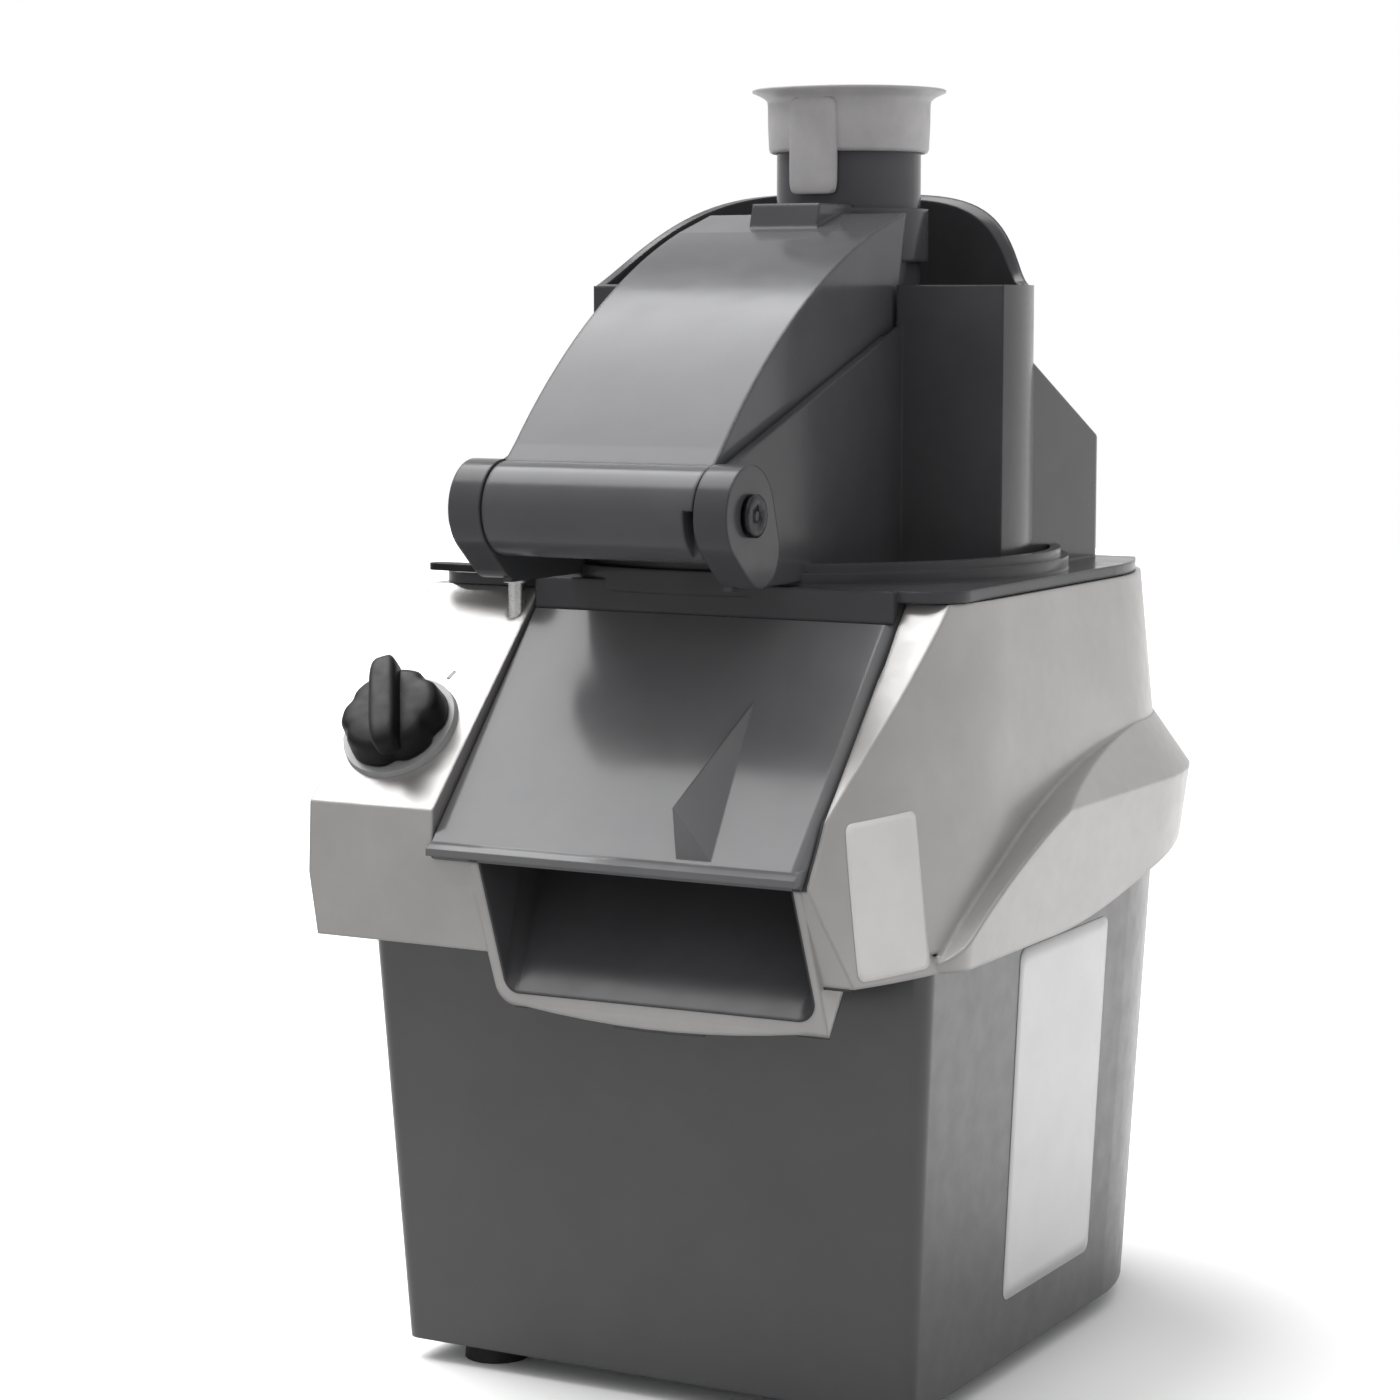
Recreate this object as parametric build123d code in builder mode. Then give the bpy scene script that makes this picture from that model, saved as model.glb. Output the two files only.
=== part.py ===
"""Bench vegetable cutting machine with a hinged feed head, a swinging pusher arm and a belt-driven disc.

All sizes are millimetres. +Z is up, the discharge chute faces -Y and +X is the operator's right.
The origin is on the bench, under the middle of the machine.
"""
import os
from math import cos, radians, sin, sqrt, tan

from build123d import *

os.makedirs("parts", exist_ok=True)

# Common clearances
REST_GAP = 0.4          # between two pieces that rest on each other but move apart
RUN_CLEAR = 0.05        # radial clearance of a shaft or pin in its bore
SLIDE_CLEAR = 0.4       # radial clearance of the pestle in its tube
SIDE_CLEAR = 0.8        # beside a piece that swings past another

# Base casing
FOOT_HEIGHT = 10.5
FOOT_R = 12.0
BASE_Z = 8.0
BASE_HALF_LOW = 103.0
BASE_HALF_TOP = 112.2
BASE_FRONT_LOW = -125.0
BASE_FRONT_TOP = -132.0
BASE_CORNER_R = 5.5
BASE_INSIDE_R = 6.0     # a smaller one leaves the casing's mesh open
BASE_WALL = 4.0
BASE_BOSS_R = 8.0
BOSS_SCREW_R = 2.0
TOP_BOSS_Z = 150.0
TOP_BOSS_R = 7.5
TOP_SCREW_R = 2.5
GLAND_Z = 40.0
GLAND_R = 10.0
VENT_X = 52.0           # middle of each row of air slots at the back
VENT_Z = 104.0
VENT_COUNT = 6
VENT_PITCH = 10.0
VENT_W = 4.0
VENT_LENGTH = 46.0
VENT_REACH = 50.0
REAR_CENTRE_Y = 48.0    # centre of the round back of base, housing and bulge
PLATE_T = 3.0

# Upper housing, a lightweight casting
RIM_Z = 165.5
RIDGE_Z = 188.0
TOP_Z = 286.0
HOUSING_HALF_RIM = 119.0
HOUSING_HALF_TOP = 107.0
HOUSING_FRONT_Y = -167.5
RIDGE_PROUD = 2.0
LEFT_FRONT_X = -110.5
HOUSING_WALL = 9.0
HOUSING_ROOF = 4.0
BULGE_HALF = 127.0
BULGE_MID_Z = 211.0
BULGE_TOP_Z = 231.0
SKIRT_CLEAR = 0.8
REAR_RISE = 32.0        # how far the housing's rim rises towards the back
RIM_FLAT_Y = -45.0      # the rim is level in front of this
SKIRT_DEPTH = 6.5       # how far the casing tucks into the housing

# Control panel on the left of the chute
PANEL_RIGHT_X = -60.5
PANEL_LOW_Z = 215.0
PANEL_ANGLE = 45.0

# Chute and hood
HOOD_ANGLE = 47.5
HOOD_LIP_Y = -171.0
HOOD_LIP_Z = 203.0
HOOD_LEFT_X = -59.5
HOOD_RIGHT_X = 84.0
HOOD_T = 5.0
HOOD_BACK_Y = -90.5
HOOD_SEAT_GAP = 0.7
LIP_DROP = 4.5
RIB_X = 44.0
RIB_H = 18.0
RIB_TOP_Y = -122.0
RIGHT_WALL_X = 85.5
MOUTH = [(-48.0, 203.0), (-33.0, 148.0), (94.0, 149.0), (82.0, 203.0)]
MOUTH_SAG = 3.0
LIP_DEPTH = 14.0
CHUTE_WALL = 3.8
CHUTE_FLOOR_Z = 228.0

# Knife chamber and spindle
AXIS_Y = -6.0
CHAMBER_R = 97.0
CHAMBER_WALL = 4.0
CHAMBER_FLOOR_T = 6.0
DISC_R = 92.5
DISC_Z = 275.0
DISC_T = 3.0
DISC_HUB_R = 16.0
EJECTOR_T = 3.0
EJECTOR_VANE_H = 22.0
EJECTOR_R = 90.0
EJECTOR_Z = 230.5
SHAFT_R = 9.0
SHAFT_LOW_Z = 158.0
SHAFT_TOP_Z = DISC_Z + DISC_T + 2.0
SEAL_R = 14.0
BEARING_R = 17.5
BEARING_T = 12.0
BEARING_SPACE = 2.0
BEARING_HOUSING_R = 27.0
BEARING_HOUSING_Z = 190.0

# Belt drive and motor
BELT_Z = 167.0
BELT_W = 15.0
BELT_T = 3.0
BELT_CLEAR = 0.3
SPINDLE_PULLEY_R = 42.0
MOTOR_PULLEY_R = 14.0
MOTOR_R = 54.0
MOTOR_REAR_GAP = 9.0
MOTOR_FLOOR_GAP = 9.5
MOTOR_TOP_Z = 151.0
MOTOR_Y = REAR_CENTRE_Y + BASE_HALF_LOW - BASE_WALL - MOTOR_REAR_GAP - MOTOR_R
MOTOR_H = MOTOR_TOP_Z - FOOT_HEIGHT - PLATE_T - MOTOR_FLOOR_GAP
MOTOR_BOSS_R = 18.0
MOTOR_BOLT_PCR = 38.0
MOTOR_SCREW_R = 2.5
ROTOR_R = 34.0
POST_R = 7.0
POST_SCREW_R = 3.0
CAPACITOR_R = 18.0
BOARD_Y = -112.0
MOTOR_SHAFT_R = 7.0
MOTOR_PLATE_T = 5.0

# Feed head
HEAD_T = 4.0
HEAD_HALF = 105.0
HEAD_FRONT_Y = -98.5
HEAD_REAR_Y = 96.0
RING_R = 100.0
RING_TOP_Z = 298.0
HOPPER_R = 86.0
HOPPER_WALL = 3.5
HOPPER_FRONT_Y = -15.0
HOPPER_FRONT_Z = 395.0
HOPPER_REAR_Z = 431.0
LEFT_RIM = [(0.02, 0.0), (0.33, 0.39), (0.53, 0.70), (0.68, 0.89), (0.84, 1.0)]
RIGHT_RIM = [(0.60, 0.0), (0.69, 0.10), (0.75, 0.31), (0.83, 0.61), (0.93, 0.88), (1.0, 1.0)]
NOTCH_HALF = 43.0
NOTCH_Z = 325.0
CHEEK_T = 3.5
CHEEK_LOW_Z = 292.0
CHEEK_HIGH_Z = 380.5
EAR_T = 12.5
EAR_R = 17.0
ARM_HINGE_Y = -150.0
ARM_HINGE_Z = 318.0
BOX_HALF = 80.0
BOX_FRONT_Y = 20.0
BOX_FRONT_Z = 369.0
BOX_REAR_Z = 334.0

# Pusher arm, tube, plate and pestle
ARM_HALF = 41.0
ARM_WALL = 3.0
BARREL_R = 16.5
ARM_PIN_R = 4.0
TUBE_Y = 32.0
TUBE_R = 27.5
TUBE_BORE_R = 25.3
ARM_END_Y = -3.0
ARM_END_Z = 421.5
ARM_SKIRT_Z = 328.0
COLLAR_Z = 404.0
COLLAR_H = 20.0
SADDLE_HALF = 14.0
SADDLE_Y = -20.0
SLOT_W = 3.6
TUBE_RISE = 38.0
TUBE_TOP_Z = COLLAR_Z + COLLAR_H + TUBE_RISE
PUSHER_Z = 292.0
PUSHER_T = 10.0
PUSHER_R = 80.5
PUSHER_FRONT_Y = 9.0
PESTLE_PROUD = 7.0
PESTLE_TOP_Z = TUBE_TOP_Z + PESTLE_PROUD
PESTLE_FLANGE_T = 3.5
TONGUE_HALF = 9.5
PESTLE_FLANGE_R = 37.0
PESTLE_SKIRT_R = 31.0

# Head hinge at the back
HEAD_HINGE_Y = 112.0
HEAD_HINGE_Z = 300.0
HEAD_PIN_R = 4.0
KNUCKLE_R = 8.0
KNUCKLE_HALF = 33.0
BRACKET_T = 8.0
BRACKET_BOLT_R = 2.5

# Knob and latch
KNOB_X = -89.0
KNOB_Y = -145.0
KNOB_R = 19.5
KNOB_H = 16.5
KNOB_RING_T = 2.5
SWITCH_BEHIND = 6.5
SWITCH_BUSH_R = 9.0
SWITCH_STEM_R = 3.0
LATCH_X = -66.0
LATCH_Y = -104.0
LATCH_LENGTH = 37.0
LATCH_POST_R = 3.0
LATCH_Z = 291.5
LATCH_T = 2.5


def d_sketch(z, half, front_y, corner_r):
    """A D-shaped outline: flat front with round corners, straight sides and a half-round back."""
    with BuildSketch(Plane.XY.offset(z)) as outline:
        with BuildLine():
            Polyline((-half, REAR_CENTRE_Y), (-half, front_y), (half, front_y), (half, REAR_CENTRE_Y))
            ThreePointArc((half, REAR_CENTRE_Y), (0, REAR_CENTRE_Y + half), (-half, REAR_CENTRE_Y))
        make_face()
        fillet(outline.vertices().group_by(Axis.Y)[0], corner_r)
    return outline.sketch


def between(low, high, share):
    """The value at a share of the way from low to high."""
    return low + (high - low) * share


def housing_sketch(z, inset):
    """The housing's outline at a height: straight left side, round back, swept right front corner."""
    share = (z - RIM_Z) / (TOP_Z - RIM_Z)
    proud = RIDGE_PROUD * (z - RIM_Z) / (RIDGE_Z - RIM_Z) if z <= RIDGE_Z else RIDGE_PROUD * (1 - share)
    half = between(HOUSING_HALF_RIM, HOUSING_HALF_TOP, share) - inset
    front = HOUSING_FRONT_Y - proud + inset
    left = LEFT_FRONT_X - proud + inset
    corner = (between(102, 41, share) - inset, front)
    middle = (between(116, 88, share) - inset, between(-122, -124, share) + inset)
    end = (half, between(-77, -60, share))
    with BuildSketch(Plane.XY.offset(z)) as outline:
        with BuildLine():
            Polyline((-half, REAR_CENTRE_Y), (-half, -80), (left, front), corner)
            ThreePointArc(corner, middle, end)
            Line(end, (half, REAR_CENTRE_Y))
            ThreePointArc((half, REAR_CENTRE_Y), (0, REAR_CENTRE_Y + half), (-half, REAR_CENTRE_Y))
        make_face()
    return outline.sketch


def side_profile(points, x=0.0):
    """A closed outline in the machine's side view, as (y, z) points, on the plane at x."""
    with BuildSketch(Plane.YZ.offset(x)) as outline:
        with BuildLine():
            Polyline(*points, close=True)
        make_face()
    return outline.sketch


def slope_z(y, y0, z0, angle):
    """The height at y of a plane that climbs to the back at an angle through (y0, z0)."""
    return z0 + (y - y0) * tan(radians(angle))


def on_hood(y):
    """The height of the hood's upper face at y."""
    return slope_z(y, HOOD_LIP_Y, HOOD_LIP_Z, HOOD_ANGLE)


def above_slope(y0, z0, angle, x):
    """The side view of all that lies above a plane that climbs to the back at an angle."""
    low_y, high_y, top = -210.0, -40.0, 420.0
    return side_profile([(low_y, slope_z(low_y, y0, z0, angle)), (high_y, slope_z(high_y, y0, z0, angle)),
                         (high_y, top), (low_y, top)], x)


def under_rim(lift, height):
    """The side view between the housing's rear rim, raised by a lift, and a level."""
    low_y, high_y = -200.0, 200.0
    with BuildSketch(Plane.YZ) as outline:
        with BuildLine():
            start = (RIM_FLAT_Y, RIM_Z + lift)
            rim = Spline(start, (60, RIM_Z + lift + 0.45 * REAR_RISE), (high_y, RIM_Z + lift + REAR_RISE),
                         tangents=((1, 0), (1, 0.1)))
            Polyline(rim @ 1, (high_y, height), (low_y, height), (low_y, RIM_Z + lift), start)
        make_face()
    return outline.sketch


def over_bulge():
    """The side view of all that lies above the bulge's rising upper edge."""
    low_y, high_y, top = -200.0, 200.0, 320.0
    with BuildSketch(Plane.YZ) as outline:
        with BuildLine():
            edge = Spline((-130, 168), (-65, 204), (20, 227), (high_y, BULGE_TOP_Z + 1))
            Polyline(edge @ 1, (high_y, top), (low_y, top), (low_y, 150), (-134, 150), edge @ 0)
        make_face()
    return outline.sketch


def above_rim(rises):
    """The side view of all above the hopper's rim, which climbs through (share of depth, share of rise)."""
    depth = AXIS_Y + HOPPER_R - HOPPER_FRONT_Y
    rise = HOPPER_REAR_Z - HOPPER_FRONT_Z
    points = [(HOPPER_FRONT_Y + depth * along, HOPPER_FRONT_Z + rise * up) for along, up in rises]
    with BuildSketch(Plane.YZ) as outline:
        with BuildLine():
            rim = Spline(*points)
            Polyline(rim @ 1, (300, HOPPER_REAR_Z), (300, 600), (-100, 600), (-100, HOPPER_FRONT_Z), rim @ 0)
        make_face()
    return outline.sketch


def quad(y, corners, radius):
    """A four-sided outline on the upright plane at y, with its two lower corners rounded."""
    with BuildSketch(Plane.XZ.offset(-y)) as outline:
        with BuildLine():
            Polyline(*corners, close=True)
        make_face()
        fillet(outline.vertices().sort_by(Axis.Z)[0:2], radius)
    return outline.sketch


def round_bar(radius, x0, x1, y, z):
    """A round bar along X."""
    with BuildPart() as bar:
        with BuildSketch(Plane.YZ.offset(x0)):
            with Locations((y, z)):
                Circle(radius)
        extrude(amount=x1 - x0)
    return bar.part


def upright(radius, x, y, z0, z1):
    """A round post along Z."""
    with BuildPart() as post:
        with BuildSketch(Plane.XY.offset(z0)):
            with Locations((x, y)):
                Circle(radius)
        extrude(amount=z1 - z0)
    return post.part


def finish(piece, name):
    """Label a finished piece and write its STEP file."""
    piece.part.label = name
    export_step(piece.part, f"parts/{name}.step")
    print(f"{name:22s} valid {piece.part.is_valid} solids {len(piece.part.solids())}")


# Base casing: drafted plastic shell with four screw bosses
DRAFT = (BASE_HALF_TOP - BASE_HALF_LOW) / (RIM_Z - BASE_Z)
FRONT_DRAFT = (BASE_FRONT_TOP - BASE_FRONT_LOW) / (RIM_Z - BASE_Z)
CASING_HIGH_Z = RIM_Z + REAR_RISE + SKIRT_DEPTH + 6
CASING_HALF_HIGH = BASE_HALF_LOW + DRAFT * (CASING_HIGH_Z - BASE_Z)
CASING_FRONT_HIGH = BASE_FRONT_LOW + FRONT_DRAFT * (CASING_HIGH_Z - BASE_Z)
BASE_FLOOR_Z = FOOT_HEIGHT + PLATE_T
BOSS_TOP_Z = BASE_FLOOR_Z + 24
FRONT_BOSS = (BASE_HALF_LOW - BASE_WALL - 5, BASE_FRONT_LOW + BASE_WALL + 5)
REAR_BOSS_TURN = radians(48)
REAR_BOSS_REACH = BASE_HALF_LOW - 9
REAR_BOSS = (REAR_BOSS_REACH * cos(REAR_BOSS_TURN), REAR_CENTRE_Y + REAR_BOSS_REACH * sin(REAR_BOSS_TURN))
BOSSES = [(side * x, y) for x, y in (FRONT_BOSS, REAR_BOSS) for side in (-1, 1)]
FRONT_FOOT = (BASE_HALF_LOW - 28, BASE_FRONT_LOW + 19)
REAR_FOOT = (BASE_HALF_LOW - 33, REAR_CENTRE_Y + 44)
FEET = [(side * x, y) for x, y in (FRONT_FOOT, REAR_FOOT) for side in (-1, 1)]
TOP_BOSSES = [(side * (BASE_HALF_TOP - 9.6), y) for y in (-70.0, 36.0) for side in (-1, 1)]
BASE_REAR_Y = REAR_CENTRE_Y + BASE_HALF_LOW + DRAFT * (GLAND_Z - BASE_Z)

with BuildPart() as base_casing:
    loft(sections=[d_sketch(BASE_Z, BASE_HALF_LOW, BASE_FRONT_LOW, BASE_CORNER_R),
                   d_sketch(CASING_HIGH_Z, CASING_HALF_HIGH, CASING_FRONT_HIGH, BASE_CORNER_R)])
    loft(sections=[d_sketch(BASE_Z, BASE_HALF_LOW - BASE_WALL, BASE_FRONT_LOW + BASE_WALL,
                            BASE_INSIDE_R),
                   d_sketch(CASING_HIGH_Z, CASING_HALF_HIGH - BASE_WALL, CASING_FRONT_HIGH + BASE_WALL,
                            BASE_INSIDE_R)], mode=Mode.SUBTRACT)
    with BuildSketch(Plane.XY.offset(TOP_BOSS_Z)):
        with Locations(*TOP_BOSSES):
            Circle(TOP_BOSS_R)
    extrude(amount=CASING_HIGH_Z - TOP_BOSS_Z)
    with BuildSketch(Plane.XY.offset(TOP_BOSS_Z)):
        with Locations(*TOP_BOSSES):
            Circle(TOP_SCREW_R + RUN_CLEAR)
    extrude(amount=CASING_HIGH_Z - TOP_BOSS_Z, mode=Mode.SUBTRACT)
    extrude(under_rim(SKIRT_DEPTH, 300), amount=200, both=True, mode=Mode.SUBTRACT)
    with BuildSketch(Plane.XY.offset(BASE_FLOOR_Z)):
        with Locations(*BOSSES):
            Circle(BASE_BOSS_R)
    extrude(amount=BOSS_TOP_Z - BASE_FLOOR_Z)
    with BuildSketch(Plane.XY.offset(BASE_FLOOR_Z)):
        with Locations(*BOSSES):
            Circle(BOSS_SCREW_R + RUN_CLEAR)
    extrude(amount=18, mode=Mode.SUBTRACT)
    with BuildSketch(Plane.XZ.offset(-BASE_REAR_Y - 5)):
        with Locations((0, GLAND_Z)):
            Circle(GLAND_R + RUN_CLEAR)
    extrude(amount=20, mode=Mode.SUBTRACT)
    with BuildSketch(Plane.XZ.offset(-REAR_CENTRE_Y - VENT_REACH)):
        for side in (-1, 1):
            with Locations((side * VENT_X, VENT_Z)):
                with GridLocations(VENT_PITCH, 1, VENT_COUNT, 1):
                    SlotOverall(VENT_LENGTH, VENT_W, rotation=90)
    extrude(amount=-2 * VENT_REACH, mode=Mode.SUBTRACT)
finish(base_casing, "base_casing")

# Base plate with air slots, its screws and the four feet
with BuildPart() as base_plate:
    with BuildSketch(Plane.XY.offset(FOOT_HEIGHT)):
        add(d_sketch(0, BASE_HALF_LOW - BASE_WALL - 0.4, BASE_FRONT_LOW + BASE_WALL + 0.4, 7.0))
        with Locations(*BOSSES):
            Circle(BOSS_SCREW_R + RUN_CLEAR, mode=Mode.SUBTRACT)
        with Locations((0, MOTOR_Y)):
            with GridLocations(14, 1, 5, 1):
                SlotOverall(56, 6, rotation=90, mode=Mode.SUBTRACT)
    extrude(amount=PLATE_T)
finish(base_plate, "base_plate")

with BuildPart() as base_screws:
    with BuildSketch(Plane.XY.offset(FOOT_HEIGHT - 2.5)):
        with Locations(*BOSSES):
            Circle(BOSS_SCREW_R * 1.7)
    extrude(amount=2.5)
    with BuildSketch(Plane.XY.offset(FOOT_HEIGHT - 2.5)):
        with Locations(*BOSSES):
            Circle(BOSS_SCREW_R)
    extrude(amount=18)
finish(base_screws, "base_screws")

with BuildPart() as rubber_feet:
    with BuildSketch():
        with Locations(*FEET):
            Circle(FOOT_R)
    extrude(amount=FOOT_HEIGHT, taper=4)
finish(rubber_feet, "rubber_feet")

# Cable gland at the back, with its lock nut inside
with BuildPart() as cable_gland:
    with BuildSketch(Plane.XZ.offset(-BASE_REAR_Y - 12)):
        with Locations((0, GLAND_Z)):
            Circle(GLAND_R - 1.5)
    extrude(amount=24)
    with BuildSketch(Plane.XZ.offset(-BASE_REAR_Y - 6)):
        with Locations((0, GLAND_Z)):
            RegularPolygon(GLAND_R + 3.5, 6)
    extrude(amount=5)
    with BuildSketch(Plane.XZ.offset(-BASE_REAR_Y + BASE_WALL + 1.5)):
        with Locations((0, GLAND_Z)):
            RegularPolygon(GLAND_R + 3.5, 6)
    extrude(amount=5)
    with BuildSketch(Plane.XZ.offset(-BASE_REAR_Y - 12)):
        with Locations((0, GLAND_Z)):
            Circle(4.0)
    extrude(amount=24, mode=Mode.SUBTRACT)
finish(cable_gland, "cable_gland")

# Upper housing: cast shell with control box, chute trough, knife chamber and rear bulge
HOOD_RISE = tan(radians(HOOD_ANGLE))
HOOD_DEPTH = HOOD_T / cos(radians(HOOD_ANGLE))
POSTS = [(side * 60.0, y) for y in (-48.0, 36.0) for side in (-1, 1)]
CHAMBER_BASE_Z = CHUTE_FLOOR_Z - CHAMBER_FLOOR_T
MOTOR_PLATE_Z = MOTOR_TOP_Z
POST_LOW_Z = MOTOR_PLATE_Z + MOTOR_PLATE_T
BRACKET_HALF = KNUCKLE_HALF + SIDE_CLEAR
BRACKET_BOLTS = [(side * (BRACKET_HALF + BRACKET_T + 6), HEAD_HINGE_Y + dy)
                 for dy in (-7, 7) for side in (-1, 1)]
LATCH_FOOT_Z = slope_z(LATCH_Y, HOUSING_FRONT_Y, PANEL_LOW_Z, PANEL_ANGLE)
PANEL = Plane(origin=(KNOB_X, KNOB_Y, slope_z(KNOB_Y, HOUSING_FRONT_Y, PANEL_LOW_Z, PANEL_ANGLE)),
              x_dir=(1, 0, 0), z_dir=(0, -sin(radians(PANEL_ANGLE)), cos(radians(PANEL_ANGLE))))
TROUGH_FRONT_Y = HOUSING_FRONT_Y - RIDGE_PROUD
TROUGH_BACK_Y = -98.0
TROUGH_END = [(-62.0, 300.0), (-54.0, CHAMBER_BASE_Z), (90.0, CHAMBER_BASE_Z), (90.0, 300.0)]
CHANNEL = [(x + dx, z + dz) for (x, z), dx, dz in zip(MOUTH, (CHUTE_WALL, 2.8, -CHUTE_WALL, -CHUTE_WALL),
                                                      (3, CHUTE_WALL, CHUTE_WALL, 3))]
CHANNEL_END = [(-55.0, 310.0), (-50.0, CHUTE_FLOOR_Z + 4), (85.0, CHUTE_FLOOR_Z + 4), (85.0, 310.0)]

with BuildPart() as core:
    loft(sections=[housing_sketch(RIM_Z, HOUSING_WALL), housing_sketch(TOP_Z - HOUSING_ROOF, HOUSING_WALL)])
    extrude(above_slope(HOUSING_FRONT_Y, PANEL_LOW_Z - 1.5 * HOUSING_ROOF, PANEL_ANGLE, -140), amount=140 - 66,
            mode=Mode.SUBTRACT)
    extrude(above_slope(HOOD_LIP_Y, HOOD_LIP_Z - HOOD_DEPTH - 2 * HOUSING_ROOF, HOOD_ANGLE, -66.5), amount=220,
            mode=Mode.SUBTRACT)
    extrude(side_profile([(-200, 150), (CASING_FRONT_HIGH + 7, 150), (CASING_FRONT_HIGH + 7, RIM_Z + 4),
                          (-200, RIM_Z + 4)]), amount=150, both=True, mode=Mode.SUBTRACT)

with BuildPart() as trough:
    loft(sections=[quad(TROUGH_FRONT_Y, MOUTH, 9), quad(TROUGH_BACK_Y, TROUGH_END, 9)], ruled=True)
    with BuildSketch(Plane.XZ.offset(-TROUGH_FRONT_Y)):
        with BuildLine():
            lip_left, lip_right = (MOUTH[1][0] + 8, MOUTH[1][1] + 0.5), (MOUTH[2][0] - 8, MOUTH[2][1] + 0.5)
            lip_middle = ((lip_left[0] + lip_right[0]) / 2, MOUTH[1][1] - MOUTH_SAG)
            Line(lip_left, lip_right)
            ThreePointArc(lip_right, lip_middle, lip_left)
        make_face()
    extrude(amount=-LIP_DEPTH)
with BuildPart() as channel:
    loft(sections=[quad(TROUGH_FRONT_Y - 0.5, CHANNEL, 6), quad(TROUGH_BACK_Y + 6, CHANNEL_END, 6)], ruled=True)

with BuildPart() as bulge:
    loft(sections=[d_sketch(RIM_Z, BULGE_HALF - 6, -130, 12), d_sketch(BULGE_MID_Z, BULGE_HALF, -130, 12),
                   d_sketch(BULGE_TOP_Z, BULGE_HALF - 14, -130, 12)], ruled=True)
    extrude(over_bulge(), amount=200, both=True, mode=Mode.SUBTRACT)

with BuildPart() as skirt:
    loft(sections=[d_sketch(BASE_Z, BASE_HALF_LOW + SKIRT_CLEAR, BASE_FRONT_LOW - SKIRT_CLEAR, BASE_CORNER_R),
                   d_sketch(CASING_HIGH_Z, CASING_HALF_HIGH + SKIRT_CLEAR, CASING_FRONT_HIGH - SKIRT_CLEAR,
                            BASE_CORNER_R)])
    extrude(under_rim(SKIRT_DEPTH, 300), amount=200, both=True, mode=Mode.SUBTRACT)

with BuildPart() as housing_bosses:
    with BuildSketch(Plane.XY.offset(TOP_BOSS_Z)):
        with Locations(*TOP_BOSSES):
            Circle(TOP_BOSS_R)
    extrude(amount=56)
    extrude(under_rim(SKIRT_DEPTH, 100), amount=200, both=True, mode=Mode.SUBTRACT)
    with BuildSketch(Plane.XY.offset(TOP_BOSS_Z)):
        with Locations(*TOP_BOSSES):
            Circle(TOP_SCREW_R + RUN_CLEAR)
    extrude(amount=48, mode=Mode.SUBTRACT)

with BuildPart() as upper_housing:
    loft(sections=[housing_sketch(RIM_Z, 0), housing_sketch(RIDGE_Z, 0), housing_sketch(TOP_Z, 0)], ruled=True)
    add(bulge.part)
    extrude(under_rim(0, 100), amount=200, both=True, mode=Mode.SUBTRACT)
    add(core.part, mode=Mode.SUBTRACT)
    add(skirt.part, mode=Mode.SUBTRACT)
    add(housing_bosses.part)
    add(upright(CHAMBER_R + CHAMBER_WALL, 0, AXIS_Y, CHAMBER_BASE_Z, TOP_Z))
    add(trough.part)
    with BuildSketch(Plane.XY.offset(POST_LOW_Z)):
        with Locations(*POSTS):
            Circle(POST_R)
    extrude(amount=CHAMBER_BASE_Z - POST_LOW_Z)
    with BuildSketch(Plane.XY.offset(POST_LOW_Z)):
        with Locations(*POSTS):
            Circle(POST_SCREW_R + RUN_CLEAR)
    extrude(amount=20, mode=Mode.SUBTRACT)
    extrude(above_slope(HOUSING_FRONT_Y, PANEL_LOW_Z, PANEL_ANGLE, -140), amount=140 + PANEL_RIGHT_X,
            mode=Mode.SUBTRACT)
    extrude(above_slope(HOOD_LIP_Y, HOOD_LIP_Z - HOOD_DEPTH - HOOD_SEAT_GAP, HOOD_ANGLE, PANEL_RIGHT_X),
            amount=RIGHT_WALL_X - PANEL_RIGHT_X, mode=Mode.SUBTRACT)
    extrude(above_slope(HOUSING_FRONT_Y, HOOD_LIP_Z + 3, HOOD_ANGLE, RIGHT_WALL_X), amount=60, mode=Mode.SUBTRACT)
    add(channel.part, mode=Mode.SUBTRACT)
    add(upright(CHAMBER_R, 0, AXIS_Y, CHUTE_FLOOR_Z, 320), mode=Mode.SUBTRACT)
    add(upright(SEAL_R, 0, AXIS_Y, CHAMBER_BASE_Z - 1, CHUTE_FLOOR_Z), mode=Mode.SUBTRACT)
    with BuildSketch(Plane.XY.offset(TOP_Z - 3 * HOUSING_ROOF)):
        with Locations(*BRACKET_BOLTS):
            Circle(BRACKET_BOLT_R + RUN_CLEAR)
    extrude(amount=4 * HOUSING_ROOF, mode=Mode.SUBTRACT)
    with BuildSketch(PANEL):
        Circle(SWITCH_BUSH_R + 0.3)
    extrude(amount=20, both=True, mode=Mode.SUBTRACT)
    with BuildSketch(Plane.XY.offset(LATCH_FOOT_Z - 8)):
        with Locations((LATCH_X, LATCH_Y)):
            Circle(LATCH_POST_R + RUN_CLEAR)
    extrude(amount=30, mode=Mode.SUBTRACT)
finish(upper_housing, "upper_housing")

with BuildPart() as housing_screws:
    with BuildSketch(Plane.XY.offset(TOP_BOSS_Z - 5)):
        with Locations(*TOP_BOSSES):
            Circle(TOP_SCREW_R * 1.5)
    extrude(amount=5)
    with BuildSketch(Plane.XY.offset(TOP_BOSS_Z - 5)):
        with Locations(*TOP_BOSSES):
            Circle(TOP_SCREW_R)
    extrude(amount=45)
finish(housing_screws, "housing_screws")

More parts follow.
